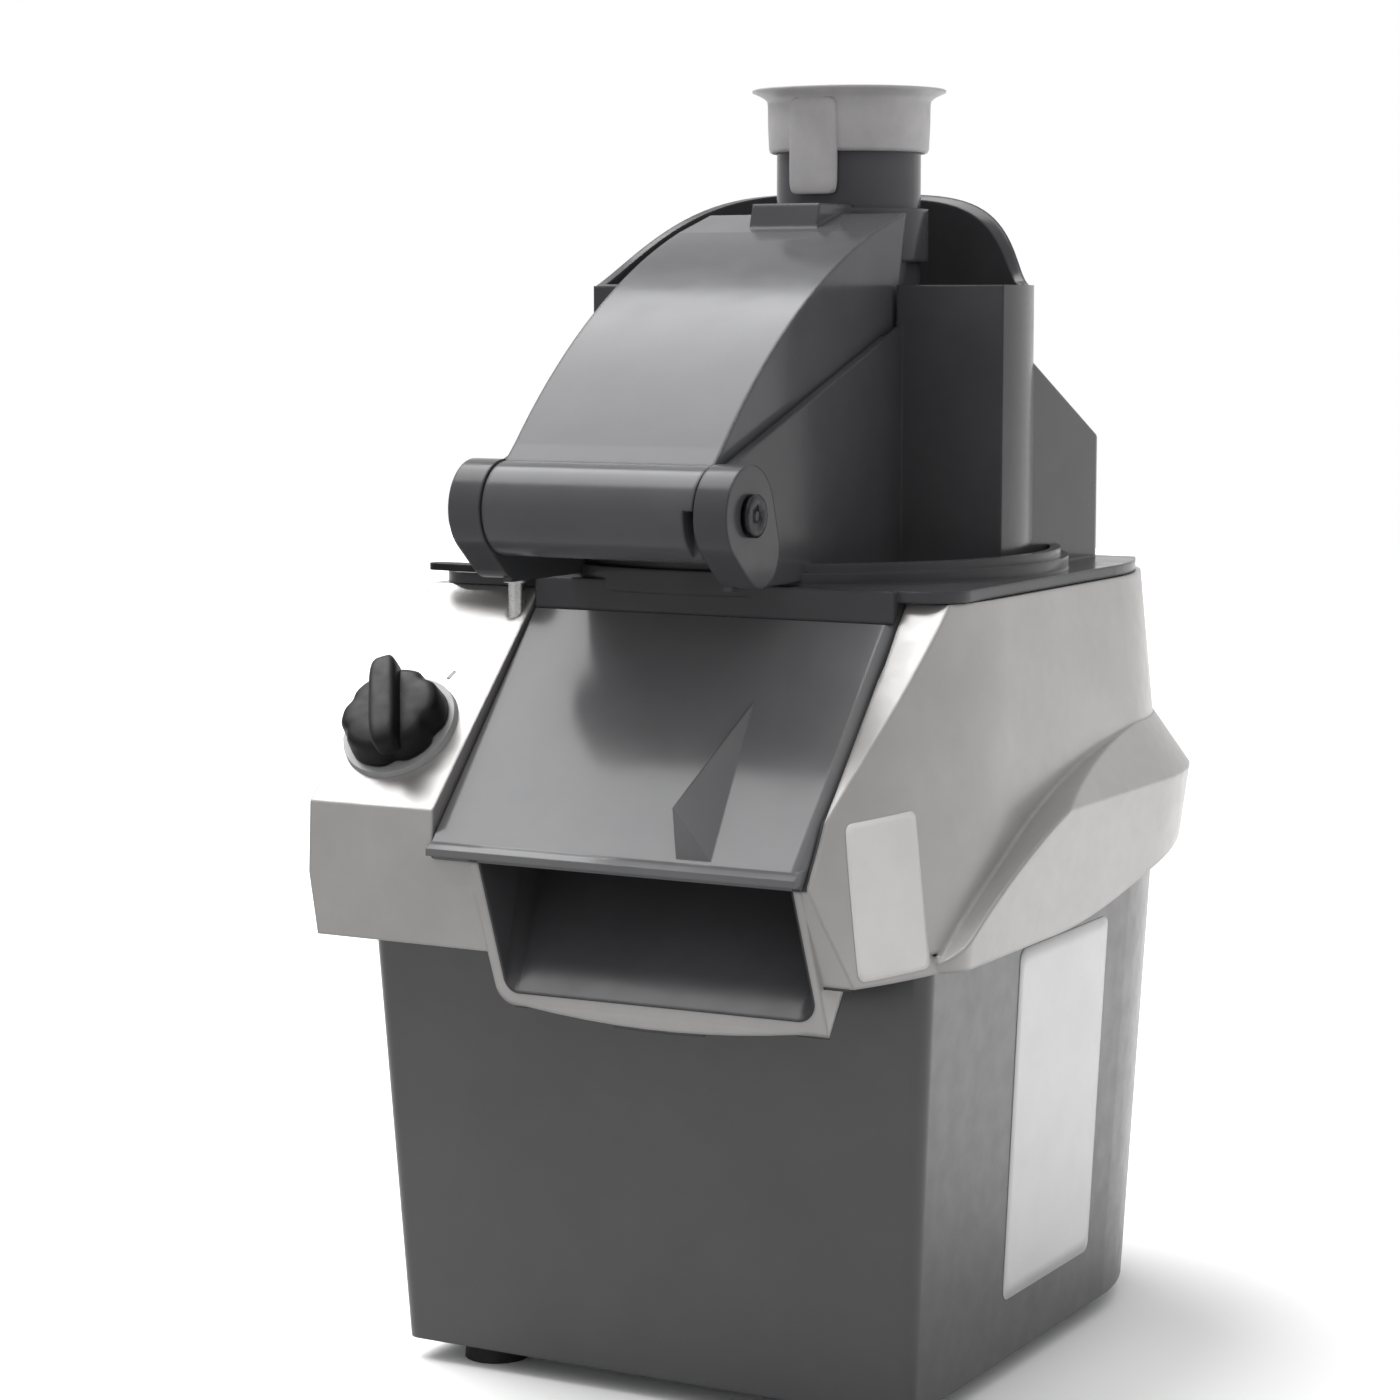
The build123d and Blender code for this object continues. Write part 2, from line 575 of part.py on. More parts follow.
# Bearing housing under the chamber floor, two bearings and the shaft seal
with BuildPart() as bearing_housing:
    with BuildSketch(Plane.XY.offset(BEARING_HOUSING_Z)):
        with Locations((0, AXIS_Y)):
            Circle(BEARING_HOUSING_R)
    extrude(amount=CHAMBER_BASE_Z - BEARING_HOUSING_Z)
    with BuildSketch(Plane.XY.offset(CHAMBER_BASE_Z - 6)):
        with Locations((0, AXIS_Y)):
            Circle(BEARING_HOUSING_R + 11)
    extrude(amount=6)
    with BuildSketch(Plane.XY.offset(BEARING_HOUSING_Z)):
        with Locations((0, AXIS_Y)):
            Circle(BEARING_R)
    extrude(amount=2 * BEARING_T + BEARING_SPACE, mode=Mode.SUBTRACT)
    with BuildSketch(Plane.XY.offset(BEARING_HOUSING_Z)):
        with Locations((0, AXIS_Y)):
            Circle(SEAL_R)
    extrude(amount=60, mode=Mode.SUBTRACT)
finish(bearing_housing, "bearing_housing")

for name, low in (("lower_bearing", BEARING_HOUSING_Z),
                  ("upper_bearing", BEARING_HOUSING_Z + BEARING_T + BEARING_SPACE)):
    with BuildPart() as bearing:
        with BuildSketch(Plane.XY.offset(low)):
            with Locations((0, AXIS_Y)):
                Circle(BEARING_R - 0.02)
                Circle(SHAFT_R + RUN_CLEAR, mode=Mode.SUBTRACT)
        extrude(amount=BEARING_T - 0.05)
    finish(bearing, name)

with BuildPart() as shaft_seal:
    with BuildSketch(Plane.XY.offset(CHAMBER_BASE_Z - 3)):
        with Locations((0, AXIS_Y)):
            Circle(SEAL_R - 0.02)
            Circle(SHAFT_R + RUN_CLEAR, mode=Mode.SUBTRACT)
    extrude(amount=CHAMBER_FLOOR_T + 2)
finish(shaft_seal, "shaft_seal")

# Spindle: shaft, pulley and nut below; ejector and cutting disc above
with BuildPart() as drive_shaft:
    with BuildSketch(Plane.XY.offset(SHAFT_LOW_Z)):
        with Locations((0, AXIS_Y)):
            Circle(SHAFT_R)
    extrude(amount=SHAFT_TOP_Z - SHAFT_LOW_Z)
    with BuildSketch(Plane.XY.offset(BEARING_HOUSING_Z + 2 * BEARING_T + BEARING_SPACE + 0.3)):
        with Locations((0, AXIS_Y)):
            Circle(SHAFT_R + 2.5)
    extrude(amount=1.5)
    chamfer(drive_shaft.edges().filter_by(GeomType.CIRCLE).sort_by(Axis.Z)[-1], 1)
finish(drive_shaft, "drive_shaft")

PULLEY_BORE_R = SHAFT_R + 0.02
with BuildPart() as spindle_pulley:
    with BuildSketch(Plane.XY.offset(BELT_Z)):
        with Locations((0, AXIS_Y)):
            Circle(SPINDLE_PULLEY_R)
            with PolarLocations(26, 5):
                Circle(6.5, mode=Mode.SUBTRACT)
    extrude(amount=BELT_W)
    for flange_z in (BELT_Z - 1.5, BELT_Z + BELT_W):
        with BuildSketch(Plane.XY.offset(flange_z)):
            with Locations((0, AXIS_Y)):
                Circle(SPINDLE_PULLEY_R + 2.5)
                with PolarLocations(26, 5):
                    Circle(6.5, mode=Mode.SUBTRACT)
        extrude(amount=1.5)
    with BuildSketch(Plane.XY.offset(BELT_Z + BELT_W)):
        with Locations((0, AXIS_Y)):
            Circle(SHAFT_R + 2.5)
    extrude(amount=BEARING_HOUSING_Z - BELT_Z - BELT_W - 0.3)
    with BuildSketch(Plane.XY.offset(BELT_Z - 2)):
        with Locations((0, AXIS_Y)):
            Circle(PULLEY_BORE_R)
    extrude(amount=40, mode=Mode.SUBTRACT)
finish(spindle_pulley, "spindle_pulley")

with BuildPart() as shaft_nut:
    with BuildSketch(Plane.XY.offset(BELT_Z - 1.5 - 6)):
        with Locations((0, AXIS_Y)):
            RegularPolygon(SHAFT_R + 6, 6)
            Circle(PULLEY_BORE_R, mode=Mode.SUBTRACT)
    extrude(amount=6)
finish(shaft_nut, "shaft_nut")

with BuildPart() as ejector_plate:
    with BuildSketch(Plane.XY.offset(EJECTOR_Z)):
        with Locations((0, AXIS_Y)):
            Circle(EJECTOR_R)
    extrude(amount=EJECTOR_T)
    with BuildSketch(Plane.XY.offset(EJECTOR_Z)):
        with Locations((0, AXIS_Y)):
            Circle(SHAFT_R + 9)
    extrude(amount=DISC_Z - EJECTOR_Z - 14)
    with BuildSketch(Plane.XY.offset(EJECTOR_Z + EJECTOR_T)):
        with BuildLine():
            near = (12, AXIS_Y)
            far = (EJECTOR_R * 0.96, AXIS_Y)
            vane_line = ThreePointArc(near, ((12 + EJECTOR_R * 0.96) / 2, AXIS_Y - 12), far)
            offset(vane_line, amount=2.2)
        make_face()
    extrude(amount=EJECTOR_VANE_H)
    with BuildSketch(Plane.XY.offset(EJECTOR_Z + EJECTOR_T)):
        with BuildLine():
            vane_line = ThreePointArc((-near[0], AXIS_Y), (-(12 + EJECTOR_R * 0.96) / 2, AXIS_Y + 12),
                                      (-far[0], AXIS_Y))
            offset(vane_line, amount=2.2)
        make_face()
    extrude(amount=EJECTOR_VANE_H)
    with BuildSketch(Plane.XY.offset(EJECTOR_Z - 1)):
        with Locations((0, AXIS_Y)):
            Circle(PULLEY_BORE_R)
    extrude(amount=80, mode=Mode.SUBTRACT)
finish(ejector_plate, "ejector_plate")

with BuildPart() as disc_hub:
    with BuildSketch(Plane.XY.offset(DISC_Z - 14)):
        with Locations((0, AXIS_Y)):
            Circle(SHAFT_R + 9)
    extrude(amount=14)
    with BuildSketch(Plane.XY.offset(DISC_Z)):
        with Locations((0, AXIS_Y)):
            Circle(DISC_HUB_R)
    extrude(amount=DISC_T + 2)
    with BuildSketch(Plane.XY.offset(DISC_Z - 15)):
        with Locations((0, AXIS_Y)):
            Circle(PULLEY_BORE_R)
    extrude(amount=40, mode=Mode.SUBTRACT)
finish(disc_hub, "disc_hub")

with BuildPart() as cutting_disc:
    with BuildSketch(Plane.XY.offset(DISC_Z)):
        with Locations((0, AXIS_Y)):
            Circle(DISC_R)
            Circle(DISC_HUB_R + 0.02, mode=Mode.SUBTRACT)
        with Locations((0, AXIS_Y)):
            with PolarLocations(52, 3):
                SlotOverall(62, 11, mode=Mode.SUBTRACT)
    extrude(amount=DISC_T)
    with BuildSketch(Plane.XY.offset(DISC_Z - 5)):
        with Locations((0, AXIS_Y)):
            Circle(DISC_R)
            Circle(DISC_R - 2.5, mode=Mode.SUBTRACT)
    extrude(amount=5)
finish(cutting_disc, "cutting_disc")

with BuildPart() as disc_blades:
    with BuildSketch(Plane.XY.offset(DISC_Z + DISC_T)):
        with Locations((0, AXIS_Y)):
            with PolarLocations(52, 3):
                with Locations((0, 9.5)):
                    Rectangle(56, 10)
    extrude(amount=1.5)
finish(disc_blades, "disc_blades")

# Motor under its plate, with rotor shaft, pulley, belt and screws
with BuildPart() as motor_plate:
    with BuildSketch(Plane.XY.offset(MOTOR_PLATE_Z)):
        with BuildLine():
            Polyline((-POSTS[1][0] - 11, REAR_CENTRE_Y), (-POSTS[1][0] - 11, POSTS[0][1] - 11),
                     (POSTS[1][0] + 11, POSTS[0][1] - 11), (POSTS[1][0] + 11, REAR_CENTRE_Y))
            ThreePointArc((POSTS[1][0] + 11, REAR_CENTRE_Y), (0, MOTOR_Y + MOTOR_R + 3),
                          (-POSTS[1][0] - 11, REAR_CENTRE_Y))
        make_face()
        with Locations(*POSTS):
            Circle(POST_SCREW_R + RUN_CLEAR, mode=Mode.SUBTRACT)
        with Locations((0, AXIS_Y)):
            Circle(SHAFT_R + 8, mode=Mode.SUBTRACT)
        with Locations((0, MOTOR_Y)):
            Circle(MOTOR_BOSS_R + 0.1, mode=Mode.SUBTRACT)
            with PolarLocations(MOTOR_BOLT_PCR, 4, 45):
                Circle(MOTOR_SCREW_R + RUN_CLEAR, mode=Mode.SUBTRACT)
    extrude(amount=MOTOR_PLATE_T)
finish(motor_plate, "motor_plate")

with BuildPart() as motor_plate_screws:
    with BuildSketch(Plane.XY.offset(MOTOR_PLATE_Z - 5)):
        with Locations(*POSTS):
            Circle(POST_SCREW_R * 1.8)
    extrude(amount=5)
    with BuildSketch(Plane.XY.offset(MOTOR_PLATE_Z - 5)):
        with Locations(*POSTS):
            Circle(POST_SCREW_R)
    extrude(amount=24)
finish(motor_plate_screws, "motor_plate_screws")

with BuildPart() as motor_body:
    with BuildSketch(Plane.XY.offset(MOTOR_TOP_Z - MOTOR_H)):
        with Locations((0, MOTOR_Y)):
            Circle(MOTOR_R)
            with PolarLocations(MOTOR_R, 24):
                Rectangle(4, 5, mode=Mode.SUBTRACT)
    extrude(amount=MOTOR_H)
    for cap_z in (MOTOR_TOP_Z - MOTOR_H, MOTOR_TOP_Z - 14):
        with BuildSketch(Plane.XY.offset(cap_z)):
            with Locations((0, MOTOR_Y)):
                Circle(MOTOR_R)
        extrude(amount=14)
    with BuildSketch(Plane.XY.offset(MOTOR_TOP_Z)):
        with Locations((0, MOTOR_Y)):
            Circle(MOTOR_BOSS_R)
    extrude(amount=3)
    with BuildSketch(Plane.XY.offset(MOTOR_TOP_Z - 14)):
        with Locations((0, MOTOR_Y)):
            with PolarLocations(MOTOR_BOLT_PCR, 4, 45):
                Circle(MOTOR_SCREW_R + RUN_CLEAR)
    extrude(amount=14, mode=Mode.SUBTRACT)
    with BuildSketch(Plane.XY.offset(MOTOR_TOP_Z - MOTOR_H + 12)):
        with Locations((0, MOTOR_Y)):
            Circle(ROTOR_R + 1)
    extrude(amount=MOTOR_H - 26, mode=Mode.SUBTRACT)
    with BuildSketch(Plane.XY.offset(MOTOR_TOP_Z - MOTOR_H + 4)):
        with Locations((0, MOTOR_Y)):
            Circle(MOTOR_SHAFT_R + RUN_CLEAR)
    extrude(amount=MOTOR_H + 10, mode=Mode.SUBTRACT)
finish(motor_body, "motor_body")

with BuildPart() as motor_screws:
    with BuildSketch(Plane.XY.offset(MOTOR_TOP_Z - 12)):
        with Locations((0, MOTOR_Y)):
            with PolarLocations(MOTOR_BOLT_PCR, 4, 45):
                Circle(MOTOR_SCREW_R)
    extrude(amount=12 + MOTOR_PLATE_T + 3)
    with BuildSketch(Plane.XY.offset(MOTOR_TOP_Z + MOTOR_PLATE_T)):
        with Locations((0, MOTOR_Y)):
            with PolarLocations(MOTOR_BOLT_PCR, 4, 45):
                Circle(MOTOR_SCREW_R * 1.8)
    extrude(amount=3.5)
finish(motor_screws, "motor_screws")

with BuildPart() as motor_rotor:
    with BuildSketch(Plane.XY.offset(MOTOR_TOP_Z - MOTOR_H + 5)):
        with Locations((0, MOTOR_Y)):
            Circle(MOTOR_SHAFT_R)
    extrude(amount=BELT_Z + BELT_W + 4 - MOTOR_TOP_Z + MOTOR_H - 5)
    with BuildSketch(Plane.XY.offset(MOTOR_TOP_Z - MOTOR_H + 18)):
        with Locations((0, MOTOR_Y)):
            Circle(ROTOR_R)
    extrude(amount=MOTOR_H - 38)
finish(motor_rotor, "motor_rotor")

with BuildPart() as motor_pulley:
    with BuildSketch(Plane.XY.offset(BELT_Z)):
        with Locations((0, MOTOR_Y)):
            Circle(MOTOR_PULLEY_R)
    extrude(amount=BELT_W)
    for flange_z in (BELT_Z - 1.5, BELT_Z + BELT_W):
        with BuildSketch(Plane.XY.offset(flange_z)):
            with Locations((0, MOTOR_Y)):
                Circle(MOTOR_PULLEY_R + 2.5)
        extrude(amount=1.5)
    with BuildSketch(Plane.XY.offset(BELT_Z - 2)):
        with Locations((0, MOTOR_Y)):
            Circle(MOTOR_SHAFT_R + 0.02)
    extrude(amount=BELT_W + 4, mode=Mode.SUBTRACT)
finish(motor_pulley, "motor_pulley")

with BuildPart() as drive_belt:
    with BuildSketch(Plane.XY.offset(BELT_Z + BELT_CLEAR)):
        with Locations((0, AXIS_Y)):
            Circle(SPINDLE_PULLEY_R + BELT_CLEAR + BELT_T)
        with Locations((0, MOTOR_Y)):
            Circle(MOTOR_PULLEY_R + BELT_CLEAR + BELT_T)
        make_hull()
    extrude(amount=BELT_W - 2 * BELT_CLEAR)
    with BuildSketch(Plane.XY.offset(BELT_Z)):
        with Locations((0, AXIS_Y)):
            Circle(SPINDLE_PULLEY_R + BELT_CLEAR)
        with Locations((0, MOTOR_Y)):
            Circle(MOTOR_PULLEY_R + BELT_CLEAR)
        make_hull()
    extrude(amount=BELT_W, mode=Mode.SUBTRACT)
finish(drive_belt, "drive_belt")

# Electrics: capacitor and control board on the base plate, rotary switch behind the panel
with BuildPart() as capacitor:
    with BuildSketch(Plane.XZ.offset(CAPACITOR_R + 60)):
        with Locations((-46, BASE_FLOOR_Z + CAPACITOR_R + 3)):
            Circle(CAPACITOR_R)
    extrude(amount=-78)
finish(capacitor, "capacitor")

with BuildPart() as capacitor_clip:
    with BuildSketch(Plane.XZ.offset(52)):
        with Locations((-46, BASE_FLOOR_Z + CAPACITOR_R + 3)):
            Circle(CAPACITOR_R + 2.5)
        with Locations((-46, BASE_FLOOR_Z + 1.2)):
            Rectangle(66, 2.4)
        with Locations((-46, BASE_FLOOR_Z + 5)):
            Rectangle(24, 10)
        with Locations((-46, BASE_FLOOR_Z + CAPACITOR_R + 3)):
            Circle(CAPACITOR_R + 0.05, mode=Mode.SUBTRACT)
    extrude(amount=-16)
finish(capacitor_clip, "capacitor_clip")

with BuildPart() as board_bracket:
    with BuildSketch(Plane.YZ):
        with BuildLine():
            Polyline((BOARD_Y + 26, BASE_FLOOR_Z), (BOARD_Y + 26, BASE_FLOOR_Z + 1.5),
                     (BOARD_Y + 1.5, BASE_FLOOR_Z + 1.5), (BOARD_Y + 1.5, BASE_FLOOR_Z + 108),
                     (BOARD_Y, BASE_FLOOR_Z + 108), (BOARD_Y, BASE_FLOOR_Z), close=True)
        make_face()
    extrude(amount=48, both=True)
finish(board_bracket, "board_bracket")

with BuildPart() as control_board:
    with BuildSketch(Plane.XZ.offset(-BOARD_Y - 1.5)):
        with Locations((0, BASE_FLOOR_Z + 64)):
            with GridLocations(76, 66, 2, 2):
                Circle(3)
    extrude(amount=-5)
    with BuildSketch(Plane.XZ.offset(-BOARD_Y - 6.5)):
        with Locations((0, BASE_FLOOR_Z + 64)):
            Rectangle(90, 80)
    extrude(amount=-1.6)
    with BuildSketch(Plane.XZ.offset(-BOARD_Y - 8.1)):
        with Locations((-24, BASE_FLOOR_Z + 84), (8, BASE_FLOOR_Z + 84)):
            Rectangle(24, 18)
        with Locations((-8, BASE_FLOOR_Z + 44)):
            Rectangle(56, 12)
    extrude(amount=-14)
finish(control_board, "control_board")

with BuildPart() as rotary_switch:
    with BuildSketch(PANEL.offset(-SWITCH_BEHIND)):
        RectangleRounded(23, 23, 3)
    extrude(amount=-34)
    with BuildSketch(PANEL.offset(-SWITCH_BEHIND)):
        Circle(SWITCH_BUSH_R)
        Circle(SWITCH_STEM_R + RUN_CLEAR, mode=Mode.SUBTRACT)
    extrude(amount=SWITCH_BEHIND + 2.5)
    with BuildSketch(PANEL.offset(-SWITCH_BEHIND)):
        Circle(SWITCH_STEM_R + RUN_CLEAR)
    extrude(amount=-10, mode=Mode.SUBTRACT)
finish(rotary_switch, "rotary_switch")

with BuildPart() as knob_ring:
    with BuildSketch(PANEL):
        Circle(KNOB_R + 2.5)
        Circle(SWITCH_BUSH_R + 0.3, mode=Mode.SUBTRACT)
    extrude(amount=KNOB_RING_T, taper=12)
finish(knob_ring, "knob_ring")

with BuildPart() as knob_stem:
    with BuildSketch(PANEL.offset(-SWITCH_BEHIND - 8)):
        Circle(SWITCH_STEM_R)
    extrude(amount=SWITCH_BEHIND + 8 + KNOB_RING_T + KNOB_H - 8)
finish(knob_stem, "knob_stem")

with BuildPart() as control_knob:
    with BuildSketch(PANEL.offset(KNOB_RING_T + REST_GAP)):
        Circle(KNOB_R)
        with PolarLocations(KNOB_R + 7, 6, 30):
            Circle(9, mode=Mode.SUBTRACT)
    extrude(amount=KNOB_H * 0.62, taper=4)
    with BuildSketch(PANEL.offset(KNOB_RING_T + REST_GAP)):
        SlotOverall(2 * KNOB_R + 5, 10, rotation=110)
    extrude(amount=KNOB_H, taper=3)
    with BuildSketch(PANEL.offset(KNOB_RING_T + REST_GAP)):
        Circle(SWITCH_STEM_R + 0.02)
    extrude(amount=KNOB_H - 8, mode=Mode.SUBTRACT)
finish(control_knob, "control_knob")

# Feed head: plate, ring, half-moon hopper, cheeks with ears, rear box and hinge knuckle
HEAD_Z = TOP_Z + REST_GAP
HEAD_TOP_Z = HEAD_Z + HEAD_T
HOPPER_IN_R = HOPPER_R - HOPPER_WALL
WALL_BACK_Y = HOPPER_FRONT_Y + HOPPER_WALL + 0.5
SWEEP_R = sqrt((WALL_BACK_Y - ARM_HINGE_Y) ** 2 + (HOPPER_FRONT_Z - ARM_HINGE_Z) ** 2)
CHEEK_IN = ARM_HALF + SIDE_CLEAR

with BuildPart() as head_box:
    with BuildSketch(Plane.XY.offset(HEAD_Z)) as box_plan:
        with BuildLine():
            Polyline((-BOX_HALF, BOX_FRONT_Y - 10), (BOX_HALF, BOX_FRONT_Y - 10), (BOX_HALF, HEAD_REAR_Y),
                     (-BOX_HALF, HEAD_REAR_Y), close=True)
        make_face()
        fillet(box_plan.vertices().group_by(Axis.Y)[-1], 9)
    extrude(amount=BOX_FRONT_Z - HEAD_Z + 3)
    extrude(side_profile([(BOX_FRONT_Y, BOX_FRONT_Z), (HEAD_REAR_Y, BOX_REAR_Z),
                          (HEAD_REAR_Y + 20, BOX_REAR_Z - 9),
                          (HEAD_REAR_Y + 20, 420), (-40, 420), (-40, BOX_FRONT_Z)]), amount=120, both=True,
            mode=Mode.SUBTRACT)

with BuildPart() as head_box_hollow:
    with BuildSketch(Plane.XY.offset(HEAD_TOP_Z)) as hollow_plan:
        with BuildLine():
            Polyline((HOPPER_WALL - BOX_HALF, BOX_FRONT_Y - 20), (BOX_HALF - HOPPER_WALL, BOX_FRONT_Y - 20),
                     (BOX_HALF - HOPPER_WALL, HEAD_REAR_Y - HOPPER_WALL),
                     (HOPPER_WALL - BOX_HALF, HEAD_REAR_Y - HOPPER_WALL), close=True)
        make_face()
        fillet(hollow_plan.vertices().group_by(Axis.Y)[-1], 9 - HOPPER_WALL)
    extrude(amount=BOX_FRONT_Z - HEAD_Z)
    extrude(side_profile([(BOX_FRONT_Y, BOX_FRONT_Z - HOPPER_WALL), (HEAD_REAR_Y, BOX_REAR_Z - HOPPER_WALL),
                          (HEAD_REAR_Y + 20, BOX_REAR_Z - 9), (HEAD_REAR_Y + 20, 420), (-40, 420),
                          (-40, BOX_FRONT_Z - HOPPER_WALL)]), amount=120, both=True, mode=Mode.SUBTRACT)

with BuildPart() as sweep_wall:
    with BuildSketch(Plane.YZ):
        with BuildLine():
            low = (ARM_HINGE_Y + sqrt(SWEEP_R ** 2 - (ARM_HINGE_Z - HEAD_Z) ** 2), HEAD_Z)
            middle = (ARM_HINGE_Y + SWEEP_R, ARM_HINGE_Z)
            ThreePointArc(low, middle, (WALL_BACK_Y, HOPPER_FRONT_Z))
            Polyline((WALL_BACK_Y, HOPPER_FRONT_Z), (HOPPER_FRONT_Y, HOPPER_FRONT_Z),
                     (HOPPER_FRONT_Y, HEAD_Z), low)
        make_face()
    extrude(amount=HOPPER_R, both=True)
    add(upright(HOPPER_R - 0.5, 0, AXIS_Y, HEAD_Z - 10, HOPPER_FRONT_Z + 10), mode=Mode.INTERSECT)
    with BuildSketch(Plane.XY.offset(HEAD_Z - 1)):
        with Locations((0, WALL_BACK_Y + 50)):
            Rectangle(2 * NOTCH_HALF, 100)
    extrude(amount=200, mode=Mode.SUBTRACT)

with BuildPart() as hopper_bowl:
    with BuildSketch(Plane.XY.offset(HEAD_Z)):
        with Locations((0, AXIS_Y)):
            Circle(HOPPER_R)
        with Locations((0, HOPPER_FRONT_Y - 100)):
            Rectangle(400, 200, mode=Mode.SUBTRACT)
    extrude(amount=HOPPER_REAR_Z - HEAD_Z)
    extrude(above_rim(LEFT_RIM), amount=-2 * HOPPER_R, mode=Mode.SUBTRACT)
    extrude(above_rim(RIGHT_RIM), amount=2 * HOPPER_R, mode=Mode.SUBTRACT)

with BuildPart() as hopper_hollow:
    with BuildSketch(Plane.XY.offset(HEAD_Z - 10)):
        with Locations((0, AXIS_Y)):
            Circle(HOPPER_IN_R)
        with Locations((0, WALL_BACK_Y - 100)):
            Rectangle(400, 200, mode=Mode.SUBTRACT)
    extrude(amount=HOPPER_REAR_Z - HEAD_Z + 50)

with BuildPart() as cheeks:
    for x0, x1 in ((CHEEK_IN, CHEEK_IN + CHEEK_T), (-CHEEK_IN - CHEEK_T, -CHEEK_IN)):
        extrude(side_profile([(HOPPER_FRONT_Y + 1, HEAD_Z), (HEAD_FRONT_Y + 6, HEAD_Z),
                              (HEAD_FRONT_Y + 4, CHEEK_LOW_Z),
                              (ARM_HINGE_Y + 4, CHEEK_LOW_Z), (ARM_HINGE_Y + 4, ARM_HINGE_Z + EAR_R - 0.5),
                              (HOPPER_FRONT_Y + 1, CHEEK_HIGH_Z)], x0), amount=x1 - x0)
    for x0, x1 in ((CHEEK_IN, CHEEK_IN + EAR_T), (-CHEEK_IN - EAR_T, -CHEEK_IN)):
        with BuildSketch(Plane.YZ.offset(x0)):
            with Locations((ARM_HINGE_Y, ARM_HINGE_Z)):
                Circle(EAR_R)
            with Locations((ARM_HINGE_Y + 8, ARM_HINGE_Z - 12)):
                Circle(EAR_R - 4)
            make_hull()
        extrude(amount=x1 - x0)

with BuildPart() as feed_hopper:
    with BuildSketch(Plane.XY.offset(HEAD_Z)):
        add(d_sketch(0, HEAD_HALF, HEAD_FRONT_Y, 14))
        with Locations((0, HEAD_REAR_Y + 100)):
            Rectangle(400, 200, mode=Mode.SUBTRACT)
    extrude(amount=HEAD_T)
    with BuildSketch(Plane.XY.offset(HEAD_Z)):
        with Locations((0, AXIS_Y)):
            Circle(RING_R)
    extrude(amount=RING_TOP_Z - 3 - HEAD_Z)
    with BuildSketch(Plane.XY.offset(HEAD_Z)):
        with Locations((0, AXIS_Y)):
            Circle(RING_R - 3)
    extrude(amount=RING_TOP_Z - HEAD_Z)
    with BuildSketch(Plane.XY.offset(HEAD_TOP_Z + 2)):
        with Locations((0, AXIS_Y)):
            Circle(RING_R - 7)
    extrude(amount=RING_TOP_Z - HEAD_TOP_Z, mode=Mode.SUBTRACT)
    extrude(side_profile([(HEAD_FRONT_Y - 3, on_hood(HEAD_FRONT_Y - 3) + 0.1),
                          (HEAD_FRONT_Y + 0.5, on_hood(HEAD_FRONT_Y + 0.5) + 0.1),
                          (HEAD_FRONT_Y + 0.5, HEAD_TOP_Z), (HEAD_FRONT_Y - 3, HEAD_TOP_Z)], HOOD_LEFT_X),
            amount=HOOD_RIGHT_X - HOOD_LEFT_X)
    add(head_box.part)
    add(head_box_hollow.part, mode=Mode.SUBTRACT)
    add(hopper_bowl.part)
    add(hopper_hollow.part, mode=Mode.SUBTRACT)
    add(sweep_wall.part)
    add(cheeks.part)
    with BuildSketch(Plane.XY.offset(NOTCH_Z)):
        with Locations((0, HOPPER_FRONT_Y + 10)):
            Rectangle(2 * NOTCH_HALF, 40)
    extrude(amount=100, mode=Mode.SUBTRACT)
    extrude(side_profile([(HEAD_REAR_Y - 1, HEAD_HINGE_Z - 8), (HEAD_HINGE_Y, HEAD_HINGE_Z - KNUCKLE_R),
                          (HEAD_HINGE_Y, HEAD_HINGE_Z + KNUCKLE_R), (HEAD_REAR_Y - 1, HEAD_HINGE_Z + 14)],
                         -KNUCKLE_HALF), amount=2 * KNUCKLE_HALF)
    add(round_bar(KNUCKLE_R, -KNUCKLE_HALF, KNUCKLE_HALF, HEAD_HINGE_Y, HEAD_HINGE_Z))
    add(round_bar(HEAD_PIN_R + RUN_CLEAR, -100, 100, HEAD_HINGE_Y, HEAD_HINGE_Z), mode=Mode.SUBTRACT)
    add(round_bar(ARM_PIN_R + RUN_CLEAR, -100, 100, ARM_HINGE_Y, ARM_HINGE_Z), mode=Mode.SUBTRACT)
finish(feed_hopper, "feed_hopper")

